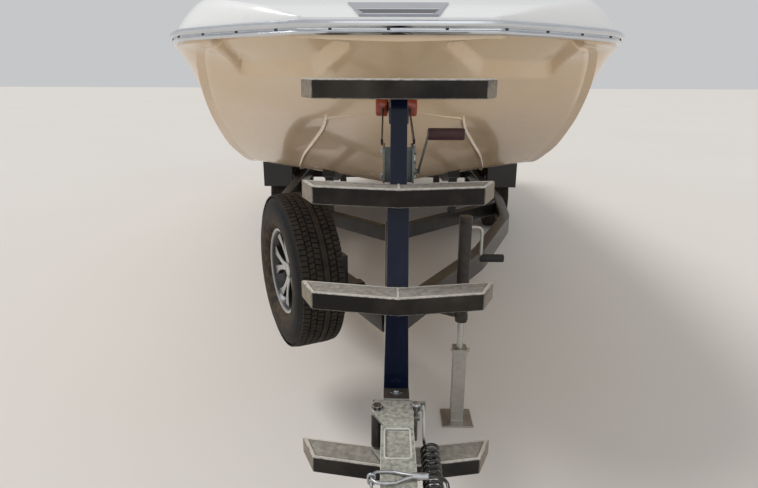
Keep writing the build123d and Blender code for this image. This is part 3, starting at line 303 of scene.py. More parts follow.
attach(cable, "swing")
cable_long = sum((b - a).length for a, b in zip(cable_points, cable_points[1:]))
print("cable", round(cable_long, 3), "m, coil arc", round(coil_long, 3))

# %% [markdown]
# ## Tools for meshes
# Most pieces here are one of three kinds: turned round an axis, swept along a path, or cut from
# plate. One short helper makes each kind, and `piece` puts the result on its body.

# %% Mesh helpers
FINISH_NAME = {}
QUARTER = math.pi / 2
CREASE = 35
WELD_REACH, FLAT_TURN = 0.00005, 2


def mesh_of(name, points, faces, crease=CREASE):
    """A mesh with outward normals, smooth except where it turns by more than crease degrees."""
    mesh = bpy.data.meshes.new(name)
    mesh.from_pydata([tuple(p) for p in points], [], faces)
    work = bmesh.new()
    work.from_mesh(mesh)
    bmesh.ops.remove_doubles(work, verts=work.verts, dist=1e-6)
    bmesh.ops.recalc_face_normals(work, faces=work.faces)
    work.to_mesh(mesh)
    work.free()
    mesh.shade_smooth()
    mesh.set_sharp_from_angle(angle=math.radians(crease))
    return mesh


def linked(name, mesh):
    """A mesh as an object of the scene."""
    thing = bpy.data.objects.new(name, mesh)
    scene.collection.objects.link(thing)
    return thing


def bevelled(thing, width, steps=2):
    """A rounded edge, which catches a thin line of light as a real one does."""
    edge = thing.modifiers.new("edge", "BEVEL")
    edge.width, edge.segments, edge.limit_method = width, steps, "ANGLE"
    edge.angle_limit = math.radians(CREASE)
    edge.harden_normals = True


def piece(name, shape, body, slot, replaces=(), look=None, place=None, edge=None):
    """Shows a mesh, or points and faces, on a body; look is its finish if the slot's isn't meant."""
    thing = linked(name, mesh_of(name, *shape) if isinstance(shape, tuple) else shape)
    if place is not None:
        thing.matrix_world = place
    if replaces:
        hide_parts(*replaces)
    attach(thing, body)
    FINISH_NAME[name] = look or slot
    if edge:
        bevelled(thing, *edge)
    return thing


def around(steps):
    """Angles evenly round a circle."""
    return [2 * math.pi * step / steps for step in range(steps)]


def turned(profile, steps=48, closed=False):
    """Points and faces of a profile of (radius, height) turned round Z."""
    points, faces = [], []
    for angle in around(steps):
        points += [(r * math.cos(angle), r * math.sin(angle), h) for r, h in profile]
    many = len(profile)
    for step in range(steps):
        near, far = step * many, (step + 1) % steps * many
        for row in range(many if closed else many - 1):
            after = (row + 1) % many
            faces.append((near + row, far + row, far + after, near + after))
    if not closed:
        faces.append(tuple(step * many for step in range(steps)))
        faces.append(tuple(step * many + many - 1 for step in range(steps)))
    return points, faces


def plate(outline, low, high):
    """Points and faces of a vertical prism."""
    many = len(outline)
    points = [(x, y, low) for x, y in outline] + [(x, y, high) for x, y in outline]
    faces = [tuple(range(many)), tuple(range(many, 2 * many))]
    faces += [(i, (i + 1) % many, (i + 1) % many + many, i + many) for i in range(many)]
    return points, faces


def swept(stations, closed=False):
    """Points and faces through rings of equal length; the ends are capped."""
    many, rows = len(stations[0]), len(stations)
    faces = []
    for row in range(rows if closed else rows - 1):
        near, far = row * many, (row + 1) % rows * many
        faces += [(near + i, near + (i + 1) % many, far + (i + 1) % many, far + i) for i in range(many)]
    if not closed:
        faces += [tuple(range(many)), tuple(range((rows - 1) * many, rows * many))]
    return [p for ring in stations for p in ring], faces


def joined(*parts):
    """Several (points, faces) pairs as one."""
    points, faces = [], []
    for more, rows in parts:
        shift = len(points)
        points += [tuple(p) for p in more]
        faces += [tuple(i + shift for i in row) for row in rows]
    return points, faces


def place_at(x, y, z, turn=0.0, axis="Y"):
    """A place, turned about one axis."""
    return Matrix.Translation((x, y, z)) @ Matrix.Rotation(turn, 4, axis)


def moved(part, matrix):
    """Points and faces carried to a place."""
    return [matrix @ Vector(p) for p in part[0]], part[1]


def along_x(profile, x, y, z, steps=28):
    """A turned piece whose axis runs along x from the given place."""
    return moved(turned(profile, steps), place_at(x, y, z, QUARTER))


def box(x0, y0, x1, y1):
    """The corners of a rectangle, in order."""
    return [(x0, y0), (x1, y0), (x1, y1), (x0, y1)]


def middle_box(half_x, half_y):
    """The corners of a rectangle round the origin."""
    return box(-half_x, -half_y, half_x, half_y)


def rounded(corners, radius, steps=6):
    """A plan outline with its corners rounded."""
    outline = []
    for index, corner in enumerate(corners):
        here = Vector(corner)
        back, on = Vector(corners[index - 1]) - here, Vector(corners[(index + 1) % len(corners)]) - here
        reach = min(radius / math.tan(back.angle(on) / 2), 0.49 * min(back.length, on.length))
        start, end = here + back.normalized() * reach, here + on.normalized() * reach
        for share in (step / steps for step in range(steps + 1)):
            near, far = start * (1 - share) + here * share, here * (1 - share) + end * share
            outline.append(tuple(near * (1 - share) + far * share))
    return outline


def bent(points, radius):
    """A path with its corners rounded, in 3-D."""
    path = [Vector(points[0])]
    for before, here, after in zip(points, points[1:], points[2:]):
        here, back, on = Vector(here), Vector(before) - Vector(here), Vector(after) - Vector(here)
        reach = min(radius / math.tan(back.angle(on) / 2), back.length / 2, on.length / 2)
        start, end = here + back.normalized() * reach, here + on.normalized() * reach
        path += [start.lerp(here, s / 8).lerp(here.lerp(end, s / 8), s / 8) for s in range(9)]
    return path + [Vector(points[-1])]


def tube_path(points, radius, steps=10, closed=False):
    """A round bar through points."""
    points = [Vector(p) for p in points]
    many = len(points)
    rings, side = [], None
    for index, spot in enumerate(points):
        before = points[index - 1] if closed or index else spot
        after = points[(index + 1) % many] if closed or index < many - 1 else spot
        way = (after - before).normalized()
        if side is None:
            side = way.orthogonal().normalized()
        side = (side - way * side.dot(way)).normalized()
        other = way.cross(side)
        rings.append([spot + (side * math.cos(a) + other * math.sin(a)) * radius for a in around(steps)])
    return swept(rings, closed)


def softened(node, width):
    """A CAD node with its triangles merged into flat faces and its edges rounded."""
    thing = NODES[node]
    thing.modifiers.new("weld", "WELD").merge_threshold = WELD_REACH
    flat = thing.modifiers.new("flat", "DECIMATE")
    flat.decimate_type = "DISSOLVE"
    flat.angle_limit = math.radians(FLAT_TURN)
    bevelled(thing, width)


def settled(thing):
    """Applies the modifiers to the mesh."""
    graph = bpy.context.evaluated_depsgraph_get()
    mesh = bpy.data.meshes.new_from_object(thing.evaluated_get(graph), depsgraph=graph)
    thing.modifiers.clear()
    thing.data = mesh


def cut_by(thing, cutter):
    """Cuts one object out of another, when it is settled."""
    carve = thing.modifiers.new(cutter.name, "BOOLEAN")
    carve.object, carve.solver = cutter, "EXACT"


# %% [markdown]
# ## Hull and deck
# A moulded hull is one smooth skin. The solid joins its stations with straight surfaces, and
# those meet in faint corners. Here a curve that never overshoots runs through each column of the
# same table, so the skin is fair from bow to stern. Two spray strakes and a chine lip are ridges
# in its section. The wells are cut out afterwards, as they are in the solid.

# %% Hull lines
STEM_Y = -3.3
HULL_LONG = 6.9
RAIL_LIP = 0.042
DECK_EDGE = 0.014
STRAKE_RIDGE = 0.016
CHINE_LIP = 0.010
SHOULDER_AT, SHOULDER_OUT = 0.62, 0.016
BOW_HOLLOW = 0.032
HOLLOW_BACK, HOLLOW_UP = 0.55, 0.83
# The hollow's inner and outer edge: across at a height, and how far it moves per metre below it.
INNER_X, INNER_Z, INNER_SLOPE = 0.134, 1.741, 1.45
OUTER_X, OUTER_Z, OUTER_SLOPE = 0.700, 1.755, 0.29
SKIN_CREASE = 24
WELL_TOP = 2.3
COLUMNS = ("aft", "rail_x", "rail_z", "chine_x", "chine_z", "strake_x", "strake_z", "keel_z", "deck_x",
           "deck_z")
STATION_ROWS = [
    (0, 330, 1790, 300, 1748, 160, 1742, 1738, 310, 1812),
    (150, 560, 1789, 510, 1745, 205, 1660, 1635, 500, 1868),
    (400, 850, 1786, 785, 1735, 262, 1560, 1480, 745, 1912),
    (800, 1005, 1781, 905, 1560, 335, 1408, 1290, 870, 1930),
    (1250, 1090, 1776, 985, 1365, 440, 1285, 1110, 945, 1935),
    (1850, 1170, 1770, 1052, 1145, 600, 1105, 930, 1025, 1935),
    (2600, 1225, 1760, 1088, 960, 730, 900, 785, 1080, 1925),
    (4200, 1245, 1720, 1100, 905, 760, 800, 670, 1100, 1860),
    (5100, 1240, 1690, 1100, 890, 755, 770, 640, 1095, 1800),
    (6900, 1190, 1660, 1075, 875, 735, 750, 620, 1045, 1800),
]
# Sections stand close together where the bow turns, and wider apart further aft.
PLACES = ([0.0125 * i for i in range(61)] + [0.75 + 0.05 * i for i in range(1, 11)]
          + [1.25 + 5.65 * i / 40 for i in range(1, 41)])
WELL_ROWS = {  # front, back, half width at the front and at the back, floor, corner
    "bow_seats": (950, 2250, 560, 800, 1470, 90),
    "bow_feet": (1450, 2700, 300, 300, 1220, 60),
    "cockpit": (2620, 5150, 935, 925, 1400, 90),
    "helm": (2660, 3900, 880, 880, 1020, 60),
    "bench_feet": (3850, 4650, 450, 450, 1020, 50),
    "engine_bay": (5300, 6560, 600, 600, 860, 60),
}


def fair_curve(knots, values):
    """A smooth curve through the values that never overshoots them."""
    spans = [b - a for a, b in zip(knots, knots[1:])]
    rises = [(b - a) / span for a, b, span in zip(values, values[1:], spans)]
    slopes = [rises[0]]
    for before, after in zip(rises, rises[1:]):
        slopes.append(0 if before * after <= 0 else 2 * before * after / (before + after))
    slopes.append(rises[-1])

    def value_at(place):
        index = max(i for i in range(len(spans)) if knots[i] <= place + 1e-9)
        span = spans[index]
        t = (place - knots[index]) / span
        return (values[index] * (1 + 2 * t) * (1 - t) ** 2 + values[index + 1] * t * t * (3 - 2 * t)
                + span * t * (1 - t) * (slopes[index] * (1 - t) - slopes[index + 1] * t))

    return value_at


KNOTS = [row[0] / 1000 for row in STATION_ROWS]
LINES = {name: fair_curve(KNOTS, [row[i] / 1000 for row in STATION_ROWS])
         for i, name in enumerate(COLUMNS) if i}


def between(a, b, share):
    """A point on the line from a to b."""
    return (a[0] + (b[0] - a[0]) * share, a[1] + (b[1] - a[1]) * share)


def ramp(value, low, high):
    """0 below low, 1 above high, a straight rise between."""
    return min(1.0, max(0.0, (value - low) / (high - low)))


def hollowed(x, z, aft):
    """How deep the moulded hollow under the bow's rail is at a point of the skin."""
    inner = INNER_X + (INNER_Z - z) * INNER_SLOPE
    outer = OUTER_X - (OUTER_Z - z) * OUTER_SLOPE
    return BOW_HOLLOW * min(ramp(x, inner, inner + 0.038 + (INNER_Z - z) * 0.42), ramp(outer - x, 0, 0.04),
                            ramp(z, 1.620, 1.662), ramp(aft, 0.010, 0.045))


def hull_half(aft):
    """Half section from keel to rail, with the strake's ridge and the chine's lip."""
    x = {name: line(aft) for name, line in LINES.items()}
    keel, strake = (0, x["keel_z"]), (x["strake_x"], x["strake_z"])
    chine, rail = (x["chine_x"], x["chine_z"]), (x["rail_x"], x["rail_z"])
    ridge = STRAKE_RIDGE * ramp(aft, 0.66, 0.76)
    lip = CHINE_LIP * ramp(aft, 0.3, 0.7)
    edge = ramp(aft, 0.60, 0.66)
    inside, outside = between(keel, strake, 0.86 + 0.10 * edge), between(strake, chine, 0.024 - 0.012 * edge)
    middle = between(between(inside, outside, 0.5), strake, 0.4 + 0.6 * edge)
    under = (rail[0], rail[1] - RAIL_LIP)
    row = [between(keel, strake, share) for share in (0, 0.25, 0.5, 0.75)]
    row += [inside, (middle[0], middle[1] - ridge), outside]
    row += [between(strake, chine, share / 40) for share in range(1, 38)]
    row += [(chine[0] - 0.03, chine[1] - 0.004 * (lip > 0)), (chine[0] + lip, chine[1] - lip / 2)]
    row += [between(chine, under, share) for share in (0.04, 0.2, 0.4, 0.6, 0.8)]
    return row + [under, rail]


def deck_half(aft):
    """Half section of the deck moulding, with a rounded shoulder."""
    x = {name: line(aft) for name, line in LINES.items()}
    foot, top = (x["rail_x"], x["rail_z"] + DECK_EDGE), (x["deck_x"], x["deck_z"])
    shoulder = tuple(v + SHOULDER_OUT for v in between(foot, top, SHOULDER_AT))
    row = [(x["rail_x"], x["rail_z"]), foot]
    for t in (0.15, 0.3, 0.45, 0.6, 0.75, 0.9):
        row.append(between(between(foot, shoulder, t), between(shoulder, top, t), t))
    return row + [between(top, (0, top[1]), share) for share in (0, 0.03, 0.3, 0.7)]


def ring_at(half, aft, hollow):
    """A closed ring from a half section, pushed up and back by a hollow's depth."""
    ring = []
    for x, z in half + [(-x, z) for x, z in reversed(half) if x > 1e-6]:
        deep = hollow(abs(x), z, aft)
        ring.append((x, STEM_Y + aft + deep * HOLLOW_BACK, z + deep * HOLLOW_UP))
    return ring


def moulding(name, half_at, slot, hollow=lambda x, z, aft: 0):
    """A loft through the half sections with the wells cut out."""
    skin = swept([ring_at(half_at(aft), aft, hollow) for aft in PLACES])
    thing = piece(name + "_moulding", mesh_of(name + "_skin", *skin, SKIN_CREASE), "root", slot, [name])
    for cutter in cutters:
        cut_by(thing, cutter)
    settled(thing)
    thing.data.set_sharp_from_angle(angle=math.radians(SKIN_CREASE))
    print(name, len(thing.data.polygons), "faces")


cutters = []
for name, row in WELL_ROWS.items():
    fore, aft, fore_x, aft_x, floor_z, corner = (value / 1000 for value in row)
    corners = [(-fore_x, STEM_Y + fore), (fore_x, STEM_Y + fore), (aft_x, STEM_Y + aft), (-aft_x, STEM_Y + aft)]
    well = plate(rounded(corners, corner), floor_z, WELL_TOP)
    cutters.append(linked("cut_" + name, mesh_of("cut_" + name, *well)))
moulding("hull", hull_half, "cream_gelcoat", hollowed)
moulding("deck", deck_half, "white_gelcoat")
for cutter in cutters:
    bpy.data.objects.remove(cutter)

# %% [markdown]
# ## Bow crease
# Where the lower bow turns into the bottom, the mould leaves a fine bead. It runs down each side
# of the keel and nearly dies out in the middle.

# %% Bow crease
CREASE_ROUTE = [(1.0, 0.72), (0.92, 0.672), (0.75, 0.606), (0.5, 0.508), (0.25, 0.428), (0, 0.360)]
CREASE_FADE = 0.30
CREASE_SECTION = [(-0.010, -0.004), (-0.004, 0.005), (0.004, 0.005), (0.010, -0.004)]
CREASE_OUT = Vector((0, -HOLLOW_BACK, -HOLLOW_UP))
crease_path = []
for share, aft in CREASE_ROUTE:
    x, z = between((0, LINES["keel_z"](aft)), (LINES["strake_x"](aft), LINES["strake_z"](aft)), share)
    crease_path.append(Vector((x, STEM_Y + aft, z)))
crease_path += [Vector((-p.x, p.y, p.z)) for p in reversed(crease_path[:-1])]
rings = []
for index, spot in enumerate(crease_path):
    along = (crease_path[min(index + 1, len(crease_path) - 1)] - crease_path[max(index - 1, 0)]).normalized()
    fade = 0.3 + 0.7 * min(1, abs(spot.x) / CREASE_FADE)
    rings.append([spot + along.cross(CREASE_OUT).normalized() * a * fade
                  + CREASE_OUT * (b * fade - 0.004 * (1 - fade)) for a, b in CREASE_SECTION])
piece("bow_crease", swept(rings), "root", "cream_gelcoat")

# %% [markdown]
# ## Rub rail
# Hull and deck meet under a bright metal strip, which takes the knocks of a dock. Its section is
# a fat bead above a thin one, with a groove for the screws between them. The section is carried
# along the sheer line, square to it in plan.

# %% Rub rail
RUB_SECTION = [(0, -32), (13, -32), (19, -28), (21, -23), (18, -18), (14, -16), (14, -13), (22, -11),
               (27, -5), (28, 2), (25, 9), (18, 13), (0, 14)]
RUB_CREASE = 28
SCREW_STEP = 0.19
SCREW_OUT = 0.0145
SCREW = turned([(0.0055, -0.002), (0.0055, 0.001), (0.004, 0.003), (0.0015, 0.0036)], 10)
side = [Vector((LINES["rail_x"](aft), STEM_Y + aft, LINES["rail_z"](aft))) for aft in PLACES]
front = [Vector((x, STEM_Y, LINES["rail_z"](0))) for x in (-0.2, 0, 0.2)]
sheer = [Vector((-p.x, p.y, p.z)) for p in reversed(side)] + front + side


def outward(path, index):
    """The plan direction square to a path at one of its points."""
    along = path[min(index + 1, len(path) - 1)] - path[max(index - 1, 0)]
    return Vector((along.y, -along.x, 0)).normalized()


rings = [[spot + outward(sheer, i) * (out / 1000) + Vector((0, 0, up_by / 1000)) for out, up_by in RUB_SECTION]
         for i, spot in enumerate(sheer)]
piece("rub_rail_strip", mesh_of("rub_rail_strip", *swept(rings), RUB_CREASE), "root", "polished_steel",
      ["rub_rail"])
heads = []
run, due = 0.0, SCREW_STEP / 2
for index in range(1, len(sheer)):
    a, b = sheer[index - 1], sheer[index]
    while run + (b - a).length >= due:
        out = outward(sheer, index)
        spot = a.lerp(b, (due - run) / (b - a).length) + out * SCREW_OUT + Vector((0, 0, -SCREW_OUT))
        heads.append(moved(SCREW, Matrix.Translation(spot) @ out.to_track_quat("Z", "Y").to_matrix().to_4x4()))
        due += SCREW_STEP
    run += (b - a).length
piece("rub_rail_screws", joined(*heads), "root", "polished_steel", look="dark_steel")
print("screws", len(heads))

# %% [markdown]
# ## Wheels
# The tyre's body is turned from its section. The tread is real rubber blocks, because the spare
# stands close to the eye: a whole rib in the middle, with rows of skewed blocks on its sides. One
# mesh serves all five tyres and another all five rims.

# %% Tyres and rims
TYRE_R = 0.359
GROOVE_R = 0.347
WHEEL_X = 1.155
AXLE_Y = NOSE_Y + 5.55
AXLE_HALF = 0.44
SPARE_AT, SPARE_TURN = (-0.445, NOSE_Y + 1.45, 0.752), math.radians(26)
WHEEL_SIDES = 96
TYRE_HALF = [(0.206, 0.084), (0.213, 0.098), (0.222, 0.101), (0.226, 0.105), (0.236, 0.1075), (0.262, 0.1105),
             (0.285, 0.1105), (0.305, 0.1075), (0.322, 0.102), (0.338, 0.0945), (0.347, 0.086), (0.350, 0.076)]
BEAD = [(0.200, 0.080), (0.200, -0.080)]
SHOULDER_R = 0.3545
TREAD_ROWS = [  # middle, width, top radius at the outer side, skew
    (-0.079, 0.032, SHOULDER_R, 0.06), (-0.0445, 0.027, TYRE_R, -0.30), (0.0180, 0.027, TYRE_R, 0.30),
    (0.0470, 0.024, TYRE_R, -0.30), (0.0790, 0.030, SHOULDER_R, 0.06),
]
MIDDLE_RIB = [(GROOVE_R, -0.0265), (TYRE_R - 0.001, -0.0255), (TYRE_R, -0.0245), (TYRE_R, -0.0025),
              (TYRE_R - 0.001, -0.0015), (GROOVE_R, -0.0005)]
RING_SECTION = [(0, -0.001), (0.0012, -0.0006), (0.0012, 0.0006), (0, 0.001)]
SIDEWALL_AT = [(0.2425, 0.1083), (0.3185, 0.1032)]
BLOCKS = 96
BLOCK_SHARE = 0.86
BLOCK_FACES = [(4, 5, 6, 7), (0, 1, 5, 4), (1, 2, 6, 5), (2, 3, 7, 6), (3, 0, 4, 7)]
RIM_PROFILE = [(0.199, -0.086), (0.202, -0.080), (0.189, -0.070), (0.186, 0), (0.189, 0.068), (0.203, 0.076),
               (0.204, 0.082), (0.200, 0.0865), (0.192, 0.0865), (0.186, 0.082), (0.180, 0.068), (0.172, 0.052),
               (0.166, 0.030), (0.160, 0), (0.160, -0.05), (0.176, -0.078)]
SPOKES, NUT_AT = 5, (0.042, 0, -0.006)
SPOKE_SECTION = [(-1.15, 0.028), (-1.0, 0.003), (-0.8, 0.0), (0.8, 0.0), (1.0, 0.003), (1.15, 0.028)]
blocks = []
for number, (middle, wide, outer_r, skew) in enumerate(TREAD_ROWS):
    side = 1 if middle > 0 else -1
    for block in range(BLOCKS):
        angle = 2 * math.pi * (block + 0.5 * (number % 2)) / BLOCKS
        half = math.pi / BLOCKS * BLOCK_SHARE
        corners = []
        for foot_r, shrink, slim in ((GROOVE_R, 1.0, 1), (None, 0.9, 0.95)):
            for across, along in box(-1, -1, 1, 1):
                radius = foot_r or (outer_r if across == side else TYRE_R)
                turn = angle + along * half * shrink + across * half * skew
                w = middle + across * wide / 2 * slim
                corners.append((radius * math.cos(turn), radius * math.sin(turn), w))
        blocks.append((corners, BLOCK_FACES))
section = [(r, -w) for r, w in TYRE_HALF] + [(r, w) for r, w in reversed(TYRE_HALF)] + BEAD
rings = [[(r + out, w + up_by) for out, up_by in RING_SECTION] for r, w in SIDEWALL_AT]
body, middle_rib, *rings = [turned(row, WHEEL_SIDES, closed=True) for row in (section, MIDDLE_RIB, *rings)]
tyre_mesh = mesh_of("tyre", *joined(body, *blocks, middle_rib, *rings), crease=30)


def spoke(angle, way):
    """One blade of a split spoke, bent like a drawn bow."""
    rings = []
    for share in (step / 10 for step in range(11)):
        turn = angle + way * (0.10 + 0.19 * share ** 1.3)
        wide = 0.0175 - 0.005 * math.sin(math.pi * share) + 0.005 * share ** 4
        face = 0.052 + 0.016 * share
        middle = Vector((math.cos(turn), math.sin(turn), 0)) * (0.040 + 0.136 * share)
        across = Vector((-math.sin(turn), math.cos(turn), 0))
        rings.append([middle + across * (wide * a) + Vector((0, 0, face - deep)) for a, deep in SPOKE_SECTION])
    return swept(rings)


parts = [turned(RIM_PROFILE, WHEEL_SIDES, closed=True),
         turned([(0.050, -0.012), (0.052, 0.030), (0.046, 0.046), (0.040, 0.050)]),
         turned([(0.035, 0.046), (0.034, 0.056), (0.030, 0.060), (0.018, 0.0625), (0.004, 0.0632)])]
wheel_nut = turned([(0.008, 0.040), (0.008, 0.056), (0.005, 0.060)], 6)
for angle in around(SPOKES):
    angle += QUARTER
    parts += [spoke(angle, 1), spoke(angle, -1)]
    nut_turn = Matrix.Rotation(angle + math.pi / SPOKES, 4, "Z")
    parts.append(moved(wheel_nut, nut_turn @ Matrix.Translation(NUT_AT)))
rim_mesh = mesh_of("rim", *joined(*parts), crease=32)
for end, way in (("front", -1), ("rear", 1)):
    for hand, side in (("_left", -1), ("_right", 1)):
        name = end + hand
        place = place_at(side * WHEEL_X, AXLE_Y + way * AXLE_HALF, TYRE_R, side * QUARTER)
        piece("road_tyre_" + name, tyre_mesh, "wheel_" + name, "tyre", ["tyre_" + name], place=place)
        piece("road_rim_" + name, rim_mesh, "wheel_" + name, "alloy", ["rim_" + name], place=place)
SPARE = place_at(*SPARE_AT, SPARE_TURN, "Z") @ Matrix.Rotation(-QUARTER, 4, "Y")
piece("spare_tyre_body", tyre_mesh, "root", "tyre", ["spare_tyre"], place=SPARE)
piece("spare_rim_body", rim_mesh, "root", "alloy", ["spare_rim"], place=SPARE)
print("tyre", len(tyre_mesh.polygons), "rim", len(rim_mesh.polygons))

# %% [markdown]
# ## Steps
# The treads are folded plate with a grip surface let into the top. A raised lip runs round each
# grip, and a weld seam marks the mitre in the middle. The lip matters: it is the light line that
# draws the chevron from a distance.

# %% Step grips
STEP_SWEEP = math.tan(math.radians(10.5))
STEP_FRONT, STEP_BACK, STEP_DEPTH = 0.260, 0.305, 0.092
STEP_SEAM = 0.0005
WELD = box(-0.0035, 0.003, 0.0035, 0.089)
STEPS = [(0.605, 1.622), (0.548, 1.315), (0.464, 1.009), (0.368, 0.498)]


def chevrons(inset, low, high):
    """Both arms of every tread's plan, drawn in from their edges, with heights from its top."""
    fore, aft = STEP_FRONT - inset * 1.3, STEP_BACK - inset * 1.6
    near, far = inset, STEP_DEPTH - inset
    near_x, far_x = (fore + (aft - fore) * (depth / STEP_DEPTH) for depth in (near, far))
    outline = [(STEP_SEAM, near), (near_x, near), (far_x, far), (STEP_SEAM, far)]
    arms = []
    for front, top in STEPS:
        for side in (-1, 1):
            plan = [(side * x, NOSE_Y + front + d + x * STEP_SWEEP) for x, d in outline]
            arms.append(plate(plan, top + low, top + high))
    return joined(*arms)


welds = [plate([(x, NOSE_Y + front + d) for x, d in WELD], top - 0.003, top + 0.0034) for front, top in STEPS]
piece("step_welds", joined(*welds), "root", "black_gloss", look="step_lip", edge=(0.0015, 2))
lip = piece("step_lips", chevrons(0.003, -0.003, 0.0022), "root", "black_gloss", look="step_lip")
lip_cutter = linked("cut", mesh_of("cut", *chevrons(0.009, -0.01, 0.02)))
cut_by(lip, lip_cutter)
settled(lip)
bpy.data.objects.remove(lip_cutter)
bevelled(lip, 0.0006, 1)
piece("step_grips", chevrons(0.012, -0.002, 0.0012), "root", "black_gloss", look="grip_tape", edge=(0.0005, 1))

# %% [markdown]
# ## Hinge, coupler and cable fittings
# Close to the camera are the small parts: the bolt on the hinge, the diamond plate at the foot of
# the post, the bead round the coupler's panel, the ferrule and its eye, and the chain.

# %% Small steel parts
HEX_HEAD = turned([(0.017, 0), (0.017, 0.009), (0.014, 0.0115)], 6)
DIAMOND = plate([(-0.021, 0), (0, -0.013), (0.021, 0), (0, 0.013)], 0, 0.003)
SMALL_NUT = turned([(0.008, 0.003), (0.008, 0.008), (0.006, 0.010)], 6)
KNOB = turned([(0.004, 0), (0.012, 0.004), (0.0135, 0.009), (0.011, 0.013), (0.003, 0.0145)], 24)
panel = rounded(box(-0.037, NOSE_Y + 0.220, 0.037, NOSE_Y + 0.352), 0.012)
# The coupler's bead takes the pale edge finish: partly wear, partly painted highlight.
piece("coupler_bead", tube_path([(x, y, 0.650) for x, y in panel], 0.0022, 8, True), "swing", "coupler_paint",
      look="rubbed_edge")
piece("hinge_bolt", moved(HEX_HEAD, Matrix.Translation(at_nose(-0.060, 0.455, 0.6505))), "swing",
      "coupler_paint", look="black_bolt")
piece("post_foot_plate", moved(joined(DIAMOND, SMALL_NUT), Matrix.Translation(at_nose(0, 0.541, 0.650))),
      "root", "galvanised", edge=(0.0006, 1))
clip = [at_nose(0.060 + 0.016 * math.cos(a), 0.460 + 0.004 * math.sin(2 * a), 0.648 + 0.012 * math.sin(a))
        for a in around(20)]
knob = moved(KNOB, Matrix.Translation(at_nose(0.060, 0.460, 0.653)))
piece("lock_pin_clip", joined(tube_path(clip, 0.0016, 8, True), knob), "swing", "galvanised")

FERRULE_Y = NOSE_Y + 0.140
FERRULE = [(0.0060, 0), (0.0085, 0.002), (0.009, 0.006), (0.009, 0.038), (0.0085, 0.042), (0.0055, 0.044)]
EYE_HALF = [(0.034, 0.003), (0.012, 0.010), (-0.008, 0.019), (-0.032, 0.022), (-0.056, 0.020), (-0.068, 0.010)]
eye = EYE_HALF + [(-0.070, 0)] + [(x, -y) for x, y in reversed(EYE_HALF)]
strands = [(x, FERRULE_Y + y, 0.6548 + 0.005 * max(0, (x + 0.01) / 0.044)) for x, y in eye]
piece("cable_ferrule", moved(turned(FERRULE, 24), place_at(0.076, FERRULE_Y, 0.660, -QUARTER)), "swing",
      "galvanised", ["cable_hook"])
piece("cable_eye", tube_path(strands, 0.0042, 12), "swing", "galvanised", ["cable_hook"])

LINKS, LINK_LONG, LINK_WIDE, LINK_R = 4, 0.038, 0.024, 0.0035
LINK_STEP = LINK_LONG - 4 * LINK_R - 0.0003
CHAIN_X, CHAIN_TOP = -0.070, 0.6503 + 0.008 + 0.0025 + 2 * LINK_R
END_RING_R = 0.0105


def link(path, height, turn=0.0):
    """A link of the chain, hanging at a height."""
    return moved(tube_path(path, LINK_R, 12, True), place_at(CHAIN_X, FERRULE_Y, height, turn, "Z"))


chain = []
for number in range(LINKS):
    middle, reach = LINK_LONG / 2 - LINK_WIDE / 2, LINK_WIDE / 2 - LINK_R
    loop = [(reach * math.cos(a), 0, reach * math.sin(a) + (middle if math.sin(a) >= 0 else -middle))
            for a in around(24)]
    height = CHAIN_TOP - LINK_LONG / 2 - number * LINK_STEP
    chain.append(link(loop, height, QUARTER * (number % 2)))
end_ring = [(END_RING_R * math.cos(a), 0, END_RING_R * math.sin(a)) for a in around(24)]
chain.append(link(end_ring, height - LINK_LONG / 2 + 4 * LINK_R + 0.0003 - 0.014))
piece("hanging_chain", joined(*chain), "swing", "galvanised", ["safety_chain"])

# %% [markdown]
# ## The solids that stay
# Folded plate and square tube look right as they are, once their edges are a little round. The
# flat faces come from CAD as triangles, so they are merged first, and then the bevel runs only
# where the steel really turns. On some parts the bevel's own faces take a paler finish, partly
# wear from hands and feet and partly painted highlight: the line of light along the edges of the steps and the
# post.

# %% Rounded edges of the solids
SOFT_EDGES = {
    "nose_plate": 0.002, "hardware": 0.003, "seat_post": 0.002, "consoles": 0.010, "windshield_frame": 0.004,
    "windshield_glass": 0.0015, "engine_hatch": 0.004, "swim_platform": 0.008, "strut_and_fins": 0.002,
    "prop_shaft": 0.001, "rudder": 0.004, "vee_member": 0.007,
    "cross_mid": 0.006, "cross_rear": 0.006, "bunk_left": 0.008, "bunk_right": 0.008, "tongue": 0.006,
    "swing_tongue": 0.003, "coupler": 0.003, "steps": 0.003, "step_low": 0.003, "winch_post": 0.004,
    "bow_stop": 0.008, "winch": 0.0015, "winch_strap": 0.001, "axles": 0.004, "fender_left": 0.002,
    "fender_right": 0.002, "spare_carrier": 0.003, "jack_tube": 0.002, "jack_leg": 0.002, "tail_lamps": 0.004,
}
# Painted highlight with wear: on these solids the bevels take a paler finish, the line of light along their
# edges.
WORN_HIGHLIT_EDGES = {"steps": "dusty_edge", "step_low": "dusty_edge", "winch_post": "navy_edge", "coupler": "rubbed_edge",
          "swing_tongue": "rubbed_edge", "tongue": "rubbed_edge", "jack_tube": "rubbed_edge"}
for node, width in SOFT_EDGES.items():
    softened(node, width)
    if node in WORN_HIGHLIT_EDGES:
        NODES[node].modifiers["edge"].material = 1
print("softened", len(SOFT_EDGES))

# %% [markdown]
# ## Winch and jack
# The winch is stamped steel with a toothed ratchet wheel, and its webbing is wound on the drum.
# Both cranks are bent round bar with a sleeve grip. The bar's bends are made by rounding the
# corners of the path before the bar is swept along it.

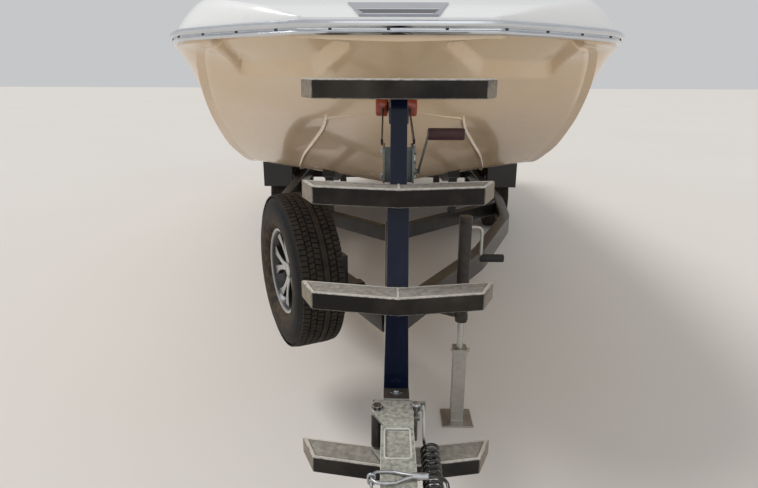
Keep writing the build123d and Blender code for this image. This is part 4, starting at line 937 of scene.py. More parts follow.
# %% Winch and jack
WINCH_Y, WINCH_Z = -3.509, 1.370
JACK_X, JACK_Y, CRANK_TOP, CRANK_DROP = 0.318, -2.840, 0.985, 0.145
TEETH = 18
TOOTH = [(0.047, 0), (0.053, 0.02), (0.047, 0.26)]
GRIP = [(0.006, 0), (0.0165, 0.001), (0.0185, 0.004), (0.0185, 0.108), (0.0165, 0.111), (0.006, 0.112)]
JACK_SLEEVE = [(r * 0.98, h * 0.96) for r, h in GRIP]
WOUND = [(0.020, 0), (0.036, 0.001), (0.0375, 0.004), (0.036, 0.006), (0.0375, 0.009), (0.0375, 0.043),
         (0.036, 0.046), (0.0375, 0.048), (0.036, 0.051), (0.020, 0.052)]
CAP = [(0.0287, -0.030), (0.0300, -0.028), (0.0300, -0.004), (0.0285, 0.0), (0.0100, 0.0015), (0.004, 0.0018)]
BAND = [(0.0287, 0.006), (0.0305, 0.008), (0.0305, 0.030), (0.0287, 0.032)]
piece("winch_grip", along_x(GRIP, 0.088, WINCH_Y - 0.010, WINCH_Z + 0.092), "root", "wheel_rubber",
      look="red_grip")
wheel = []
for a in around(TEETH):
    wheel += [(r * math.cos(a + lag), r * math.sin(a + lag)) for r, lag in TOOTH]
ratchet = moved(plate(wheel, 0, 0.005), place_at(0.049, WINCH_Y + 0.062, WINCH_Z, QUARTER))
pawl = moved(plate([(-0.006, 0), (0.006, 0.0), (0.005, 0.05), (-0.004, 0.052)], 0, 0.004),
             place_at(0.050, WINCH_Y + 0.012, WINCH_Z + 0.045, -0.9, "X") @ Matrix.Rotation(QUARTER, 4, "Y"))
bolts = [along_x([(0.009, 0), (0.009, 0.006), (0.007, 0.0075)], x, WINCH_Y + 0.03, WINCH_Z + z, 6)
         for x in (0.048, -0.0555) for z in (-0.045, 0.035)]
piece("winch_ratchet", joined(ratchet, pawl, *bolts), "root", "galvanised")
piece("wound_strap", along_x(WOUND, -0.026, WINCH_Y + 0.062, WINCH_Z, 40), "root", "webbing")

crank = [(JACK_X + x, JACK_Y, CRANK_TOP - drop) for x, drop in
         ((0.020, 0), (0.0745, 0), (0.0745, CRANK_DROP), (0.095, CRANK_DROP))]
piece("jack_crank_rod", tube_path(bent(crank, 0.032), 0.0075, 14), "root", "jack_zinc", ["jack_crank"])
piece("jack_crank_grip", along_x(JACK_SLEEVE, 0.3885, JACK_Y, CRANK_TOP - CRANK_DROP), "root", "wheel_rubber",
      ["jack_crank"])
piece("jack_cap", joined(moved(turned(CAP, 40), place_at(JACK_X, JACK_Y, 1.035)),
                         moved(turned(BAND, 40), place_at(JACK_X, JACK_Y, 0.532))), "root", "jack_paint")
collar = plate(rounded(middle_box(0.033, 0.033), 0.006), 0.366, 0.3935)
pin = along_x([(0.006, 0), (0.006, 0.082), (0.010, 0.083), (0.010, 0.088), (0.004, 0.090)],
              -0.041, 0, 0.379, 16)
piece("jack_leg_collar", moved(joined(collar, pin), place_at(JACK_X, JACK_Y, 0)), "jack_leg", "jack_zinc")

# %% [markdown]
# ## Side rails
# The rails are square tube bent in a roller, so they curve smoothly from the tongue to the
# straight sides. The solid shows the same bend in a few flats. Here the tube's rounded section is
# carried along the bent path, always upright.

# %% Side rails
RAIL_TALL, RAIL_WIDE, RAIL_MIDDLE_Z, RAIL_BEND = 0.127, 0.076, 0.5465, 0.7
RAIL_ROUTE = [(0.020, 1.345), (0.535, 2.230), (0.868, 3.090), (0.938, 3.750), (0.938, 7.050)]
section = rounded(middle_box(RAIL_WIDE / 2, RAIL_TALL / 2), 0.009, 4)
for hand, side in (("left", -1), ("right", 1)):
    path = bent([at_nose(side * x, back, RAIL_MIDDLE_Z) for x, back in RAIL_ROUTE], RAIL_BEND)
    rings = [[spot + outward(path, index) * a + Vector((0, 0, b)) for a, b in section]
             for index, spot in enumerate(path)]
    piece("bent_rail_" + hand, swept(rings), "root", "black_frame", ["rail_" + hand])

# %% [markdown]
# ## Bow stop's bracket
# Two flat bars hang from the bow stop's axle to the winch, one each side of the post. They keep
# the roller from tipping back when the boat is winched against it.

# %% Bow stop's bracket
BAR_X, BAR_HALF, BAR_THIN = 0.052, 0.011, 0.003
BAR_ROUTE = [(-3.030, 1.515), (-3.100, 1.480), (-3.420, 1.425)]
bars = []
for side in (-1, 1):
    x = side * BAR_X
    for (y0, z0), (y1, z1) in zip(BAR_ROUTE, BAR_ROUTE[1:]):
        along = Vector((0, y1 - y0, z1 - z0)).normalized()
        up_by = Vector((0, -along.z, along.y)) * BAR_HALF
        bars.append(swept([[Vector((x + dx, y, z)) + up_by * way for dx, way in box(-BAR_THIN, -1, BAR_THIN, 1)]
                           for y, z in ((y0, z0), (y1, z1))]))
    bars.append(along_x([(0.009, 0), (0.009, 0.006), (0.007, 0.008)], x - 0.004, -3.412, 1.427, 6))
piece("stop_bracket", joined(*bars), "root", "black_frame", edge=(0.0008, 1))

# %% [markdown]
# ## Helm
# The steering wheel is a padded ring on three bent spokes. The dashboard behind it gets its
# gauges: a ring, a black face and a glass each. Their faces carry plain marks only.

# %% Steering wheel and gauges
HELM_X = -0.560
TILT = math.radians(62)
HELM_OUT = Vector((0, math.sin(TILT), math.cos(TILT)))
COLUMN_END = Vector((HELM_X, -0.300, 1.670)) + HELM_OUT * 0.130
TURN_GAP = 0.0005
RING_R, RING_TUBE = 0.1605, 0.0145
ARM_SECTION = [(-1, 0), (-0.8, 0.003), (0.8, 0.003), (1, 0), (0.8, -0.003), (-0.8, -0.003)]
BOSS = [(0.024, 0.001), (0.034, 0.010), (0.038, 0.024), (0.036, 0.036), (0.028, 0.042), (0.010, 0.044)]
GAUGES = [(-0.100, 0.060, 0.040), (0.100, 0.060, 0.040), (-0.185, 0.030, 0.026), (0.185, 0.030, 0.026),
          (0, 0.088, 0.026)]
BEZEL = [(-0.005, 0.0), (-0.004, 0.0065), (0, 0.0065), (0.002, 0.003), (0.002, -0.002), (-0.005, -0.002)]
TICKS, FIRST_TICK, TICK_STEP, NEEDLE_AT = 11, -120, 24, 118
wheel_place = Matrix.Translation(COLUMN_END + HELM_OUT * TURN_GAP) @ Matrix.Rotation(-TILT, 4, "X")
dash = place_at(HELM_X, -0.265, 1.695, -TILT, "X")
ring_path = [(RING_R * math.cos(a), RING_R * math.sin(a), 0.030) for a in around(72)]
piece("steering_rim", tube_path(ring_path, RING_TUBE, 16, True), "steering", "wheel_rubber", ["steering_wheel"],
      place=wheel_place)
spokes = []
for angle in (math.radians(90 + 120 * number) for number in range(3)):
    rings = []
    for share in (step / 8 for step in range(9)):
        reach = 0.028 + (RING_R - 0.034) * share
        wide = 0.017 - 0.006 * math.sin(math.pi * share) ** 0.7
        height = 0.020 + 0.010 * share - 0.010 * math.sin(math.pi * share)
        out = Vector((math.cos(angle), math.sin(angle), 0))
        side = Vector((-math.sin(angle), math.cos(angle), 0))
        rings.append([out * reach + side * (wide * a) + Vector((0, 0, height + b)) for a, b in ARM_SECTION])
    spokes.append(swept(rings))
piece("steering_spokes", joined(*spokes, turned(BOSS, 40)), "steering", "anodised_post", ["steering_wheel"],
      place=wheel_place)
bezels, dials, marks = [], [], []
for x, up_dash, radius in GAUGES:
    here = dash @ Matrix.Translation((x, -up_dash, 0))
    tip, glass_r = radius - 0.014, radius - 0.0048
    bezels.append(moved(turned([(radius + out, h) for out, h in BEZEL], 36, closed=True), here))
    dials.append(moved(turned([(glass_r, 0.0), (glass_r, 0.003), (0.001, 0.0035)], 36), here))
    mark = plate(box(-0.0006, radius - 0.011, 0.0006, radius - 0.007), 0.003, 0.0042)
    for tick in range(TICKS):
        turn = Matrix.Rotation(math.radians(FIRST_TICK + TICK_STEP * tick), 4, "Z")
        marks.append(moved(mark, here @ turn))
    needle = plate([(-0.0012, -0.004), (0.0012, -0.004), (0.0004, tip), (-0.0004, tip)], 0.0036, 0.005)
    marks.append(moved(needle, here @ Matrix.Rotation(math.radians(NEEDLE_AT), 4, "Z")))
piece("gauge_bezels", joined(*bezels), "root", "polished_steel")
piece("gauge_dials", joined(*dials), "root", "anodised_frame", look="wheel_rubber")
piece("gauge_marks", joined(*marks), "root", "white_gelcoat")

# %% [markdown]
# ## Propeller
# A blade is a twisted leaf: each cut across it lies on the screw that the propeller would cut
# through soft wood. So one pitch gives the angle at every radius, steep at the hub and flat at
# the tip.

# %% Propeller
SHAFT_TILT = math.radians(12)
PITCH_LONG = 0.36
BLADE_ROWS = [(0.034, 0.070, 0.008), (0.060, 0.104, 0.0065), (0.090, 0.128, 0.005), (0.120, 0.130, 0.004),
              (0.145, 0.106, 0.003), (0.160, 0.066, 0.0022), (0.1665, 0.022, 0.0015)]
BLADE_WRAP, BLADE_RISE, BLADE_SWEEP, BLADE_FAT = 0.82, 0.9, 0.25, 0.6
HUB = [(0.012, -0.072), (0.026, -0.070), (0.034, -0.050), (0.038, -0.010), (0.038, 0.030), (0.034, 0.040),
       (0.018, 0.040)]
LEAF = [(step / 8, 1) for step in range(9)] + [(1 - step / 8, -1) for step in range(1, 8)]
blades = []
for number in range(3):
    rings = []
    for radius, chord, thick in BLADE_ROWS:
        climb = math.atan(PITCH_LONG / (2 * math.pi * radius))
        ring = []
        for share, side in LEAF:
            run = (share - 0.5) * chord
            fat = side * thick * math.sqrt(max(0.0, 4 * share * (1 - share))) * BLADE_FAT
            along = run * math.cos(climb) - fat * math.sin(climb)
            rise = run * math.sin(climb) + fat * math.cos(climb)
            angle = along / radius * BLADE_WRAP + 2 * math.pi * number / 3 + BLADE_SWEEP * (radius / 0.17) ** 2
            ring.append((radius * math.cos(angle), radius * math.sin(angle), rise * BLADE_RISE))
        rings.append(ring)
    blades.append(swept(rings))
piece("bronze_propeller", joined(turned(HUB, 36), *blades), "screw", "bronze", ["propeller"],
      place=place_at(0, 2.7, 0.420, -QUARTER - SHAFT_TILT, "X"))

# %% [markdown]
# ## Deck fittings
# The nose plate holds a bow light behind a clear bar. The swim platform carries a foam pad, cut
# into planks. Long grab rails run along the cockpit's edges and short ones beside the bow seats.

# %% Deck fittings
NOSE_SLOPE = math.atan2(0.056, 0.150)
LENS = [(-0.112, 0.0125), (0.112, 0.0125), (0.137, 0.0640), (-0.137, 0.0640)]
TRIM = [(-0.114, 0.011), (0.114, 0.011), (0.1395, 0.0655), (-0.1395, 0.0655)]
plate_at = place_at(0, STEM_Y, 1.812, NOSE_SLOPE, "X")
piece("bow_light_bar", moved(plate(LENS, 0.0060, 0.0092), plate_at), "root", "glass", look="light_bar",
      edge=(0.001, 1))
trim = tube_path([(x, y, 0.0086) for x, y in rounded(TRIM, 0.004)], 0.0014, 8, True)
piece("bow_light_trim", moved(trim, plate_at), "root", "polished_steel")

PLANK, PLANK_GAP = 0.058, 0.004
PLANK_HEIGHTS = (1.139, 1.1445)
PLATFORM_WIDE, PLATFORM_FORE, PLATFORM_AFT = 1.84, 3.630, 4.165
planks = []
rows = int(PLATFORM_WIDE / PLANK)
for number in range(rows):
    x0 = -rows * PLANK / 2 + number * PLANK + PLANK_GAP / 2
    x1 = x0 + PLANK - PLANK_GAP
    reach = PLATFORM_AFT - max(0.0, max(abs(x0), abs(x1)) - 0.80) ** 1.6 * 2.2
    planks.append(plate(box(x0, PLATFORM_FORE, x1, reach), *PLANK_HEIGHTS))
piece("platform_planks", joined(*planks), "root", "grey_deck", edge=(0.0012, 1))

GRABS = [(3.90, 4.70, 1.005), (1.35, 1.95, 0.835)]
GRAB_FOOT = turned([(0.019, -0.003), (0.019, 0.004), (0.013, 0.008)], 24)
grab = []
for side in (-1, 1):
    for fore, aft, x in GRABS:
        feet = [Vector((side * x, STEM_Y + place, LINES["deck_z"](place))) for place in (fore, aft)]
        over = [foot + Vector((0, inward, 0.042)) for foot, inward in zip(feet, (0.02, -0.02))]
        grab.append(tube_path(bent([feet[0], over[0], over[1], feet[1]], 0.045), 0.011, 14))
        grab += [moved(GRAB_FOOT, Matrix.Translation(foot)) for foot in feet]
piece("grab_rails", joined(*grab), "root", "polished_steel")

# %% [markdown]
# ## Cushions
# A boat cushion is foam in a sewn cover: flat where it lies on its locker, crowned on top, drawn
# in between its corners. Each starts as a rounded box a little too small.

# %% Cushion shapes
PAD_SHY = 0.010
PAD_CORNER = 0.055
VOXEL = 0.019
CROWN = 0.008
LYING = Matrix.Identity(4)
UPRIGHT = Matrix(((1, 0, 0, 0), (0, 0, -1, 0), (0, 1, 0, 0), (0, 0, 0, 1)))
SIDEWAYS_LEFT = Matrix(((0, 0, 1, 0), (1, 0, 0, 0), (0, 1, 0, 0), (0, 0, 0, 1)))
SIDEWAYS_RIGHT = Matrix(((0, 0, -1, 0), (-1, 0, 0, 0), (0, 1, 0, 0), (0, 0, 0, 1)))
CUSHIONS = [  # name, low and high corner of the solid, how it lies, channels across x and across y
    ("bow_pad_middle", (-520, -2310, 1470), (520, -1918, 1570), LYING, "bow_cushions", "root", 5, 0),
    ("bow_pad_left", (-620, -1910, 1470), (-310, -1070, 1570), LYING, "bow_cushions", "root", 0, 5),
    ("bow_pad_right", (310, -1910, 1470), (620, -1070, 1570), LYING, "bow_cushions", "root", 0, 5),
    ("side_seat_left", (-815, 630, 1400), (-460, 1350, 1500), LYING, "lounge_cushions", "root", 0, 4),
    ("side_seat_right", (460, 630, 1400), (815, 1350, 1500), LYING, "lounge_cushions", "root", 0, 4),
    ("side_back_left", (-925, 630, 1400), (-823, 1350, 1800), SIDEWAYS_LEFT, "lounge_cushions", "root", 4, 0),
    ("side_back_right", (823, 630, 1400), (925, 1350, 1800), SIDEWAYS_RIGHT, "lounge_cushions", "root", 4, 0),
    ("bench_seat", (-835, 1358, 1400), (835, 1732, 1500), LYING, "lounge_cushions", "root", 8, 0),
    ("bench_back", (-835, 1740, 1400), (835, 1850, 1800), UPRIGHT, "lounge_cushions", "root", 8, 0),
    ("driver_pan", (-810, -20, 1400), (-310, 400, 1500), LYING, "driver_seat", "root", 0, 4),
    ("driver_back", (-810, 408, 1400), (-310, 502, 1830), UPRIGHT, "driver_seat", "root", 3, 0),
    ("sun_pad_left", (-632, 1968, 1825), (-4, 3292, 1915), LYING, "sun_pad", "hatch", 0, 7),
    ("sun_pad_right", (4, 1968, 1825), (632, 3292, 1915), LYING, "sun_pad", "hatch", 0, 7),
]


def foam_block(name, wide, deep, thick):
    """A rounded box from 0 to thick in Z, with even square faces."""
    x, y = wide / 2 - PAD_SHY, deep / 2 - PAD_SHY
    corner = min(PAD_CORNER, 0.3 * min(wide, deep))
    rings = []
    for inset, height in ((0.010, 0), (0.002, 0.008), (0, 0.025), (0, thick - 0.040), (0.005, thick - 0.022),
                          (0.020, thick - 0.012)):
        rings.append([(px, py, height) for px, py in rounded(middle_box(x - inset, y - inset), corner)])
    thing = linked(name, mesh_of(name, *swept(rings)))
    even = thing.modifiers.new("even", "REMESH")
    even.mode, even.voxel_size = "VOXEL", VOXEL
    settled(thing)
    for vertex in thing.data.vertices:
        crown = max(0, 1 - (vertex.co.x / x) ** 2) * max(0, 1 - (vertex.co.y / y) ** 2)
        if vertex.co.z > thick * 0.6:
            vertex.co.z += CROWN * crown
        vertex.co.z = max(0, vertex.co.z)
    return thing


pads = []
for name, low, high, lie, node, body, *channels in CUSHIONS:
    low, high = Vector(low) / 1000, Vector(high) / 1000
    size = [abs(v) for v in lie.to_3x3().transposed() @ (high - low)]
    place = Matrix.Translation((low + high) / 2) @ lie @ Matrix.Translation((0, 0, -size[2] / 2))
    pads.append((foam_block(name, *size), size, place, node, body, channels))

# %% [markdown]
# ### Cushions blown up
# The cloth solver blows all of them up at once, with the bottom held, and a cap keeps every point
# near its start. Grooves for the sewn channels and the piping along the upper seam come after.

# %% Cushions blown up
PAD_CAP = 0.013
AIR_STEPS, AIR_FORCE, COVER_MASS = 20, 4, 0.3
HELD_BELOW = 0.003
GROOVE_DEEP, GROOVE_HALF, GROOVE_FADE = 0.0065, 0.011, 0.05
SEAM_IN, SEAM_CORNER, PIPING_R, PIPING_STEP = 0.012, 0.05, 0.0038, 0.03
starts = {thing.name: [v.co.copy() for v in thing.data.vertices] for thing, *_ in pads}
for thing, *_ in pads:
    held = thing.vertex_groups.new(name="held")
    held.add([v.index for v in thing.data.vertices if v.co.z < HELD_BELOW], 1, "ADD")
    air = thing.modifiers.new("air", "CLOTH")
    air.settings.use_pressure = True
    air.settings.uniform_pressure_force = AIR_FORCE
    air.settings.effector_weights.gravity = 0
    air.settings.vertex_group_mass = "held"
    air.settings.mass = COVER_MASS
    air.settings.quality = 4
    air.collision_settings.use_collision = False
    air.point_cache.frame_start, air.point_cache.frame_end = 1, AIR_STEPS
for step in range(AIR_STEPS):
    scene.frame_set(step + 1)
for thing, (wide, deep, thick), place, node, body, (across, along) in pads:
    settled(thing)
    pushed = 0.0
    for vertex, start in zip(thing.data.vertices, starts[thing.name]):
        move = vertex.co - start
        pushed = max(pushed, move.length)
        if move.length > PAD_CAP:
            vertex.co = start + move * (PAD_CAP / move.length)
    thing.modifiers.new("fine", "SUBSURF").levels = 1
    settled(thing)
    for vertex in thing.data.vertices:
        x, y, z = vertex.co
        if z > 0.5 * thick:
            rim = min(1, max(0, min(wide / 2 - abs(x), deep / 2 - abs(y)) / GROOVE_FADE - 0.25))
            for spot, span, count in ((x, wide, across), (y, deep, along)):
                for number in range(1, count):
                    off = (spot + span / 2 - span * number / count) / GROOVE_HALF
                    z -= GROOVE_DEEP * rim * math.exp(-off * off)
        vertex.co = (min(wide / 2, max(-wide / 2, x)), min(deep / 2, max(-deep / 2, y)), min(thick, max(0, z)))
    seam = rounded(middle_box(wide / 2 - SEAM_IN, deep / 2 - SEAM_IN), SEAM_CORNER, 5)
    laid = []
    for a, b in zip(seam, seam[1:] + seam[:1]):
        count = max(1, int((Vector(b) - Vector(a)).length / PIPING_STEP))
        laid += [Vector(a).lerp(Vector(b), s / count) for s in range(count)]
    cord = [thing.closest_point_on_mesh((spot.x, spot.y, thick - SEAM_IN))[1] for spot in laid]
    piping = moved(tube_path(cord, PIPING_R, 8, True), place)
    thing.data.transform(place)
    thing.data.shade_smooth()
    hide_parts(node)
    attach(thing, body)
    FINISH_NAME[thing.name] = "vinyl"
    piece(thing.name + "_piping", piping, body, "vinyl", look="vinyl_piping")
    print(thing.name, len(thing.data.polygons), "faces, pushed", round(pushed * 1000, 1), "mm")

# %% [markdown]
# ## Engine
# Under the lifted hatch stands a marine V8. Its castings are prisms along the crank with rounded
# edges, its pipes are bars swept along bent paths, and the belt runs where a string pulled round
# the pulleys would lie: in each direction it touches the pulley that reaches furthest.

# %% Engine
ENGINE_Y = 2.63
BANK = math.radians(45)
COVER_X, COVER_Z = 0.170, 1.156
PORT_FIRST, PORT_STEP = -0.125, 0.105
HEAD = rounded(box(-0.062, -0.060, 0.062, 0.048), 0.008, 2)
COVER = rounded([(-0.054, 0), (0.054, 0), (0.046, 0.042), (-0.046, 0.042)], 0.014, 4)
COIL = rounded([(-0.018, 0.040), (0.018, 0.040), (0.014, 0.058), (-0.014, 0.058)], 0.004, 2)
MANIFOLD = rounded(middle_box(0.030, 0.034), 0.016, 4)
BLOCK = [(-0.15, 0.95), (0.15, 0.95), (0.17, 1.02), (0.09, 1.15), (-0.09, 1.15), (-0.17, 1.02)]
SUMP = [(-0.10, 0.875), (0.10, 0.875), (0.14, 0.955), (-0.14, 0.955)]
BELL = [(0.02, 0), (0.10, 0), (0.125, 0.02), (0.165, 0.08), (0.172, 0.085), (0.172, 0.105), (0.02, 0.105)]
RISER = [(0.250, 0.14, 1.10), (0.250, 0.19, 1.30), (0.245, 0.33, 1.27)]
ELBOW = [(0.245, 0.32, 1.273), (0.240, 0.385, 1.255), (0.225, 0.405, 0.95)]
MOUNT = turned([(0.028, 0), (0.032, 0.01), (0.030, 0.060), (0.010, 0.072)], 24)
PULLEYS = [(0, 0.985, 0.088), (0, 1.135, 0.058), (0.165, 1.205, 0.034), (-0.175, 1.030, 0.050)]
PULLEY_EDGE = [(0, 0.324), (0, 0.327), (0.005, 0.329), (0.005, 0.345), (0, 0.347), (0, 0.350)]
PULLEY_HUB = [(0.02, 0.336), (0.018, 0.356), (0.006, 0.358)]
ALTERNATOR = [(0.02, 0.17), (0.058, 0.18), (0.064, 0.20), (0.064, 0.27), (0.058, 0.29), (0.02, 0.30)]
PUMP = [(0.02, 0.20), (0.048, 0.21), (0.052, 0.23), (0.052, 0.28), (0.02, 0.30)]
FILTER = [(0.012, 0), (0.040, 0.002), (0.044, 0.008), (0.044, 0.098), (0.040, 0.104), (0.012, 0.106)]
FINS, FIN_STEP = 9, 0.008
FIN = [(0.062, 0.252), (0.062, 0.256), (0.055, 0.256), (0.055, 0.260)]
BELT_STEPS, BELT_SUNK, BELT_FORE, BELT_AFT = 96, 0.004, 0.330, 0.344


def along_y(outline, low, high):
    """A prism whose outline is given as across and up, from low to high behind the engine's middle."""
    return moved(plate(outline, -(ENGINE_Y + high), -(ENGINE_Y + low)), Matrix.Rotation(QUARTER, 4, "X"))


def facing_aft(profile, x, back, z):
    """A turned piece whose axis runs aft."""
    return moved(turned(profile, 36), place_at(x, ENGINE_Y + back, z, -QUARTER, "X"))


def leaning(outline, x, z, lean):
    """An outline turned by lean and set down at a place in the section."""
    return [(x + a * math.cos(lean) - b * math.sin(lean), z + a * math.sin(lean) + b * math.cos(lean))
            for a, b in outline]


def pipe(route, bend, radius, steps, side=1):
    """A bent pipe whose route is given as across, behind the engine's middle and up."""
    path = [(side * x, ENGINE_Y + back, z) for x, back, z in route]
    return tube_path(bent(path, bend) if bend else path, radius, steps)


castings = [
    along_y(BLOCK, -0.20, 0.28), along_y(SUMP, -0.16, 0.24),
    along_y(rounded(box(-0.085, 0.90, 0.085, 1.12), 0.03), -0.43, -0.29), facing_aft(BELL, 0, -0.30, 1.03),
    facing_aft([(0.02, 0), (0.055, 0.005), (0.062, 0.03), (0.062, 0.05)], 0, -0.445, 0.955),
]
covers, coils, manifolds, hoses, runners = [], [], [], [], []
for side in (-1, 1):
    lean = -side * BANK
    castings.append(along_y(leaning(HEAD, side * 0.135, 1.120, lean), -0.19, 0.25))
    covers.append(along_y(leaning(COVER, side * COVER_X, COVER_Z, lean), -0.18, 0.24))
    manifolds.append(along_y(leaning(MANIFOLD, side * 0.250, 1.085, lean), -0.19, 0.22))
    manifolds.append(pipe(RISER, 0.07, 0.040, 20, side))
    hoses.append(pipe(ELBOW, 0.06, 0.044, 20, side))
    for number in range(4):
        back = PORT_FIRST + PORT_STEP * number
        coils.append(along_y(leaning(COIL, side * COVER_X, COVER_Z, lean), back - 0.020, back + 0.020))
        runners.append(pipe([(0.06, back + 0.02, 1.285), (0.118, back + 0.01, 1.275), (0.098, back, 1.175)],
                            0.035, 0.019, 12, side))
        manifolds.append(pipe([(0.175, back, 1.095), (0.240, back, 1.085)], 0, 0.020, 12, side))
    runners.append(pipe([(0.088, -0.16, 1.232), (0.088, 0.22, 1.232)], 0, 0.007, 10, side))
    for back in (-0.10, 0.20):
        foot = [(side * x, z) for x, z in ((0.14, 0.960), (0.300, 0.935), (0.300, 0.947), (0.14, 1.010))]
        castings.append(along_y(foot, back - 0.035, back + 0.035))
        coils.append(moved(MOUNT, place_at(side * 0.265, ENGINE_Y + back, 0.864)))
plenum = [plate(rounded(box(-0.070, ENGINE_Y - 0.17, 0.070, ENGINE_Y + 0.23), 0.03), 1.245, 1.345)]
plenum += [plate(rounded(box(x - 0.006, ENGINE_Y - 0.13, x + 0.006, ENGINE_Y + 0.19), 0.005, 2), 1.343, 1.353)
           for x in (-0.045, -0.015, 0.015, 0.045)]
wheels = []
for x, z, r in PULLEYS:
    web = [(0.008, 0.300), (r * 0.6, 0.300), (r * 0.7, 0.322)]
    grooved = [(r - deep, y) for deep, y in PULLEY_EDGE]
    wheels.append(facing_aft(web + grooved + [(r * 0.72, 0.352), (r * 0.6, 0.336)] + PULLEY_HUB, x, 0, z))
wheels += [facing_aft(ALTERNATOR, 0.165, 0, 1.205), facing_aft(PUMP, -0.175, 0, 1.030)]
belt = []
for a in around(BELT_STEPS):
    x, z, r = max(PULLEYS, key=lambda row: row[0] * math.cos(a) + row[1] * math.sin(a) + row[2])
    ring = Vector((x + (r - BELT_SUNK) * math.cos(a), z + (r - BELT_SUNK) * math.sin(a)))
    out = Vector((math.cos(a), math.sin(a))) * BELT_SUNK
    belt.append([Vector((p.x, ENGINE_Y + y, p.y)) for p, y in
                 ((ring, BELT_FORE), (ring + out, BELT_FORE), (ring + out, BELT_AFT), (ring, BELT_AFT))])
arrestor = [(0.02, 0.22), (0.046, 0.225), (0.046, 0.25)]
for number in range(FINS):
    arrestor += [(r, start + FIN_STEP * number) for r, start in FIN]
arrestor += [(0.060, 0.328), (0.050, 0.336), (0.01, 0.338)]
hoses += [
    pipe([(0.03, 0.29, 1.15), (0.07, 0.34, 1.22), (0.10, 0.20, 1.26)], 0.03, 0.017, 14),
    pipe([(-0.175, 0.24, 1.08), (-0.20, 0.30, 1.15), (-0.235, 0.20, 1.14)], 0.03, 0.016, 14),
    pipe([(-0.08, -0.37, 1.05), (-0.20, -0.34, 1.06), (-0.245, -0.12, 1.03), (-0.19, 0.20, 1.0)], 0.05,
         0.013, 12),
]
filter_can = moved(turned(FILTER, 32), place_at(0.215, ENGINE_Y - 0.13, 0.905))
for name, parts, look, edge, *replaced in (
        ("engine_castings", castings, "engine_paint", 0.005, "engine_block"),
        ("valve_covers", covers, "cast_cover", 0.006), ("exhaust_manifolds", manifolds, "engine_paint", 0.004),
        ("ignition_coils", coils, "wheel_rubber", 0.002), ("intake_runners", runners, "cast_cover", 0.001),
        ("intake_plenum", plenum, "cast_cover", 0.004), ("engine_pulleys", wheels, "dark_steel", 0.0008),
        ("drive_belt", [swept(belt, True)], "wheel_rubber", 0.0006),
        ("flame_arrestor", [facing_aft(arrestor, 0, 0, 1.295)], "polished_steel", 0.0006),
        ("engine_hoses", hoses, "wheel_rubber", 0.001), ("oil_filter", [filter_can], "cast_cover", 0.001)):
    piece(name, joined(*parts), "root", "engine_paint", replaced, look=look, edge=(edge, 2))
print("engine pieces", len(castings) + len(covers) + len(manifolds))

# %% [markdown]
# ## Inside fittings
# Grooved foam lies on the floors where people stand. The dashboard has rocker switches and a
# throttle lever, and the passenger's console a glovebox door. Each console has a speaker, whose
# grille is a dish of rings and spokes.

# %% Inside fittings
FLOORS = [(0.27, -1.80, -0.66, 1.2200), (0.30, -0.60, -0.18, 1.0200), (0.84, -0.165, 0.500, 1.0200),
          (0.41, 0.515, 1.31, 1.0200)]
ROCKER = plate(rounded(middle_box(0.010, 0.017), 0.003, 2), 0, 0.006)
THROTTLE = plate(rounded(middle_box(0.022, 0.058), 0.018), 0, 0.014)
HANDLE = [(0.006, -0.034), (0.015, -0.030), (0.017, 0), (0.015, 0.030), (0.006, 0.034)]
DOOR = plate(rounded(middle_box(0.19, 0.085), 0.022), 0, 0.006)
LATCH = turned([(0.017, 0.005), (0.017, 0.009), (0.013, 0.011), (0.012, 0.0085), (0.002, 0.0085)], 28)
CONE = turned([(0.090, -0.002), (0.090, 0.004), (0.070, 0.003), (0.030, 0.0012), (0.026, 0.005),
               (0.004, 0.0062)])
SWITCH_X = (-0.215, -0.185, -0.155, 0.155, 0.185)
GRILLE_RINGS, GRILLE_BARS = (0.085, 0.068, 0.052, 0.036, 0.020), 6
mats = []
for half, fore, aft, low in FLOORS:
    count = int(2 * half / PLANK)
    for x in (-count * PLANK / 2 + number * PLANK for number in range(count)):
        strip = rounded(box(x + PLANK_GAP / 2, fore, x + PLANK - PLANK_GAP / 2, aft), 0.004, 2)
        mats.append(plate(strip, low, low + 0.006))
piece("floor_mats", joined(*mats), "root", "grey_deck", edge=(0.0012, 1))

switches = [moved(ROCKER, dash @ Matrix.Translation((x, 0.062, 0))) for x in SWITCH_X]
throttle_at = dash @ Matrix.Translation((-0.275, 0.0, 0))
lever = tube_path(bent([(0, 0, 0.010), (0, -0.035, 0.075), (0, -0.035, 0.110)], 0.04), 0.006, 12)
handle = moved(turned(HANDLE, 24), place_at(0, -0.035, 0.112, QUARTER))
switches += [moved(part, throttle_at) for part in (THROTTLE, handle)]
piece("dash_switches", joined(*switches), "root", "anodised_frame", look="wheel_rubber", edge=(0.0012, 2))
piece("throttle_lever", moved(lever, throttle_at), "root", "polished_steel")
glove_at = place_at(-HELM_X, -0.265, 1.695, -TILT, "X")
piece("glovebox_door", moved(DOOR, glove_at), "root", "white_gelcoat", edge=(0.002, 3))
piece("glovebox_latch", moved(LATCH, glove_at @ Matrix.Translation((0, 0.060, 0))), "root", "polished_steel")

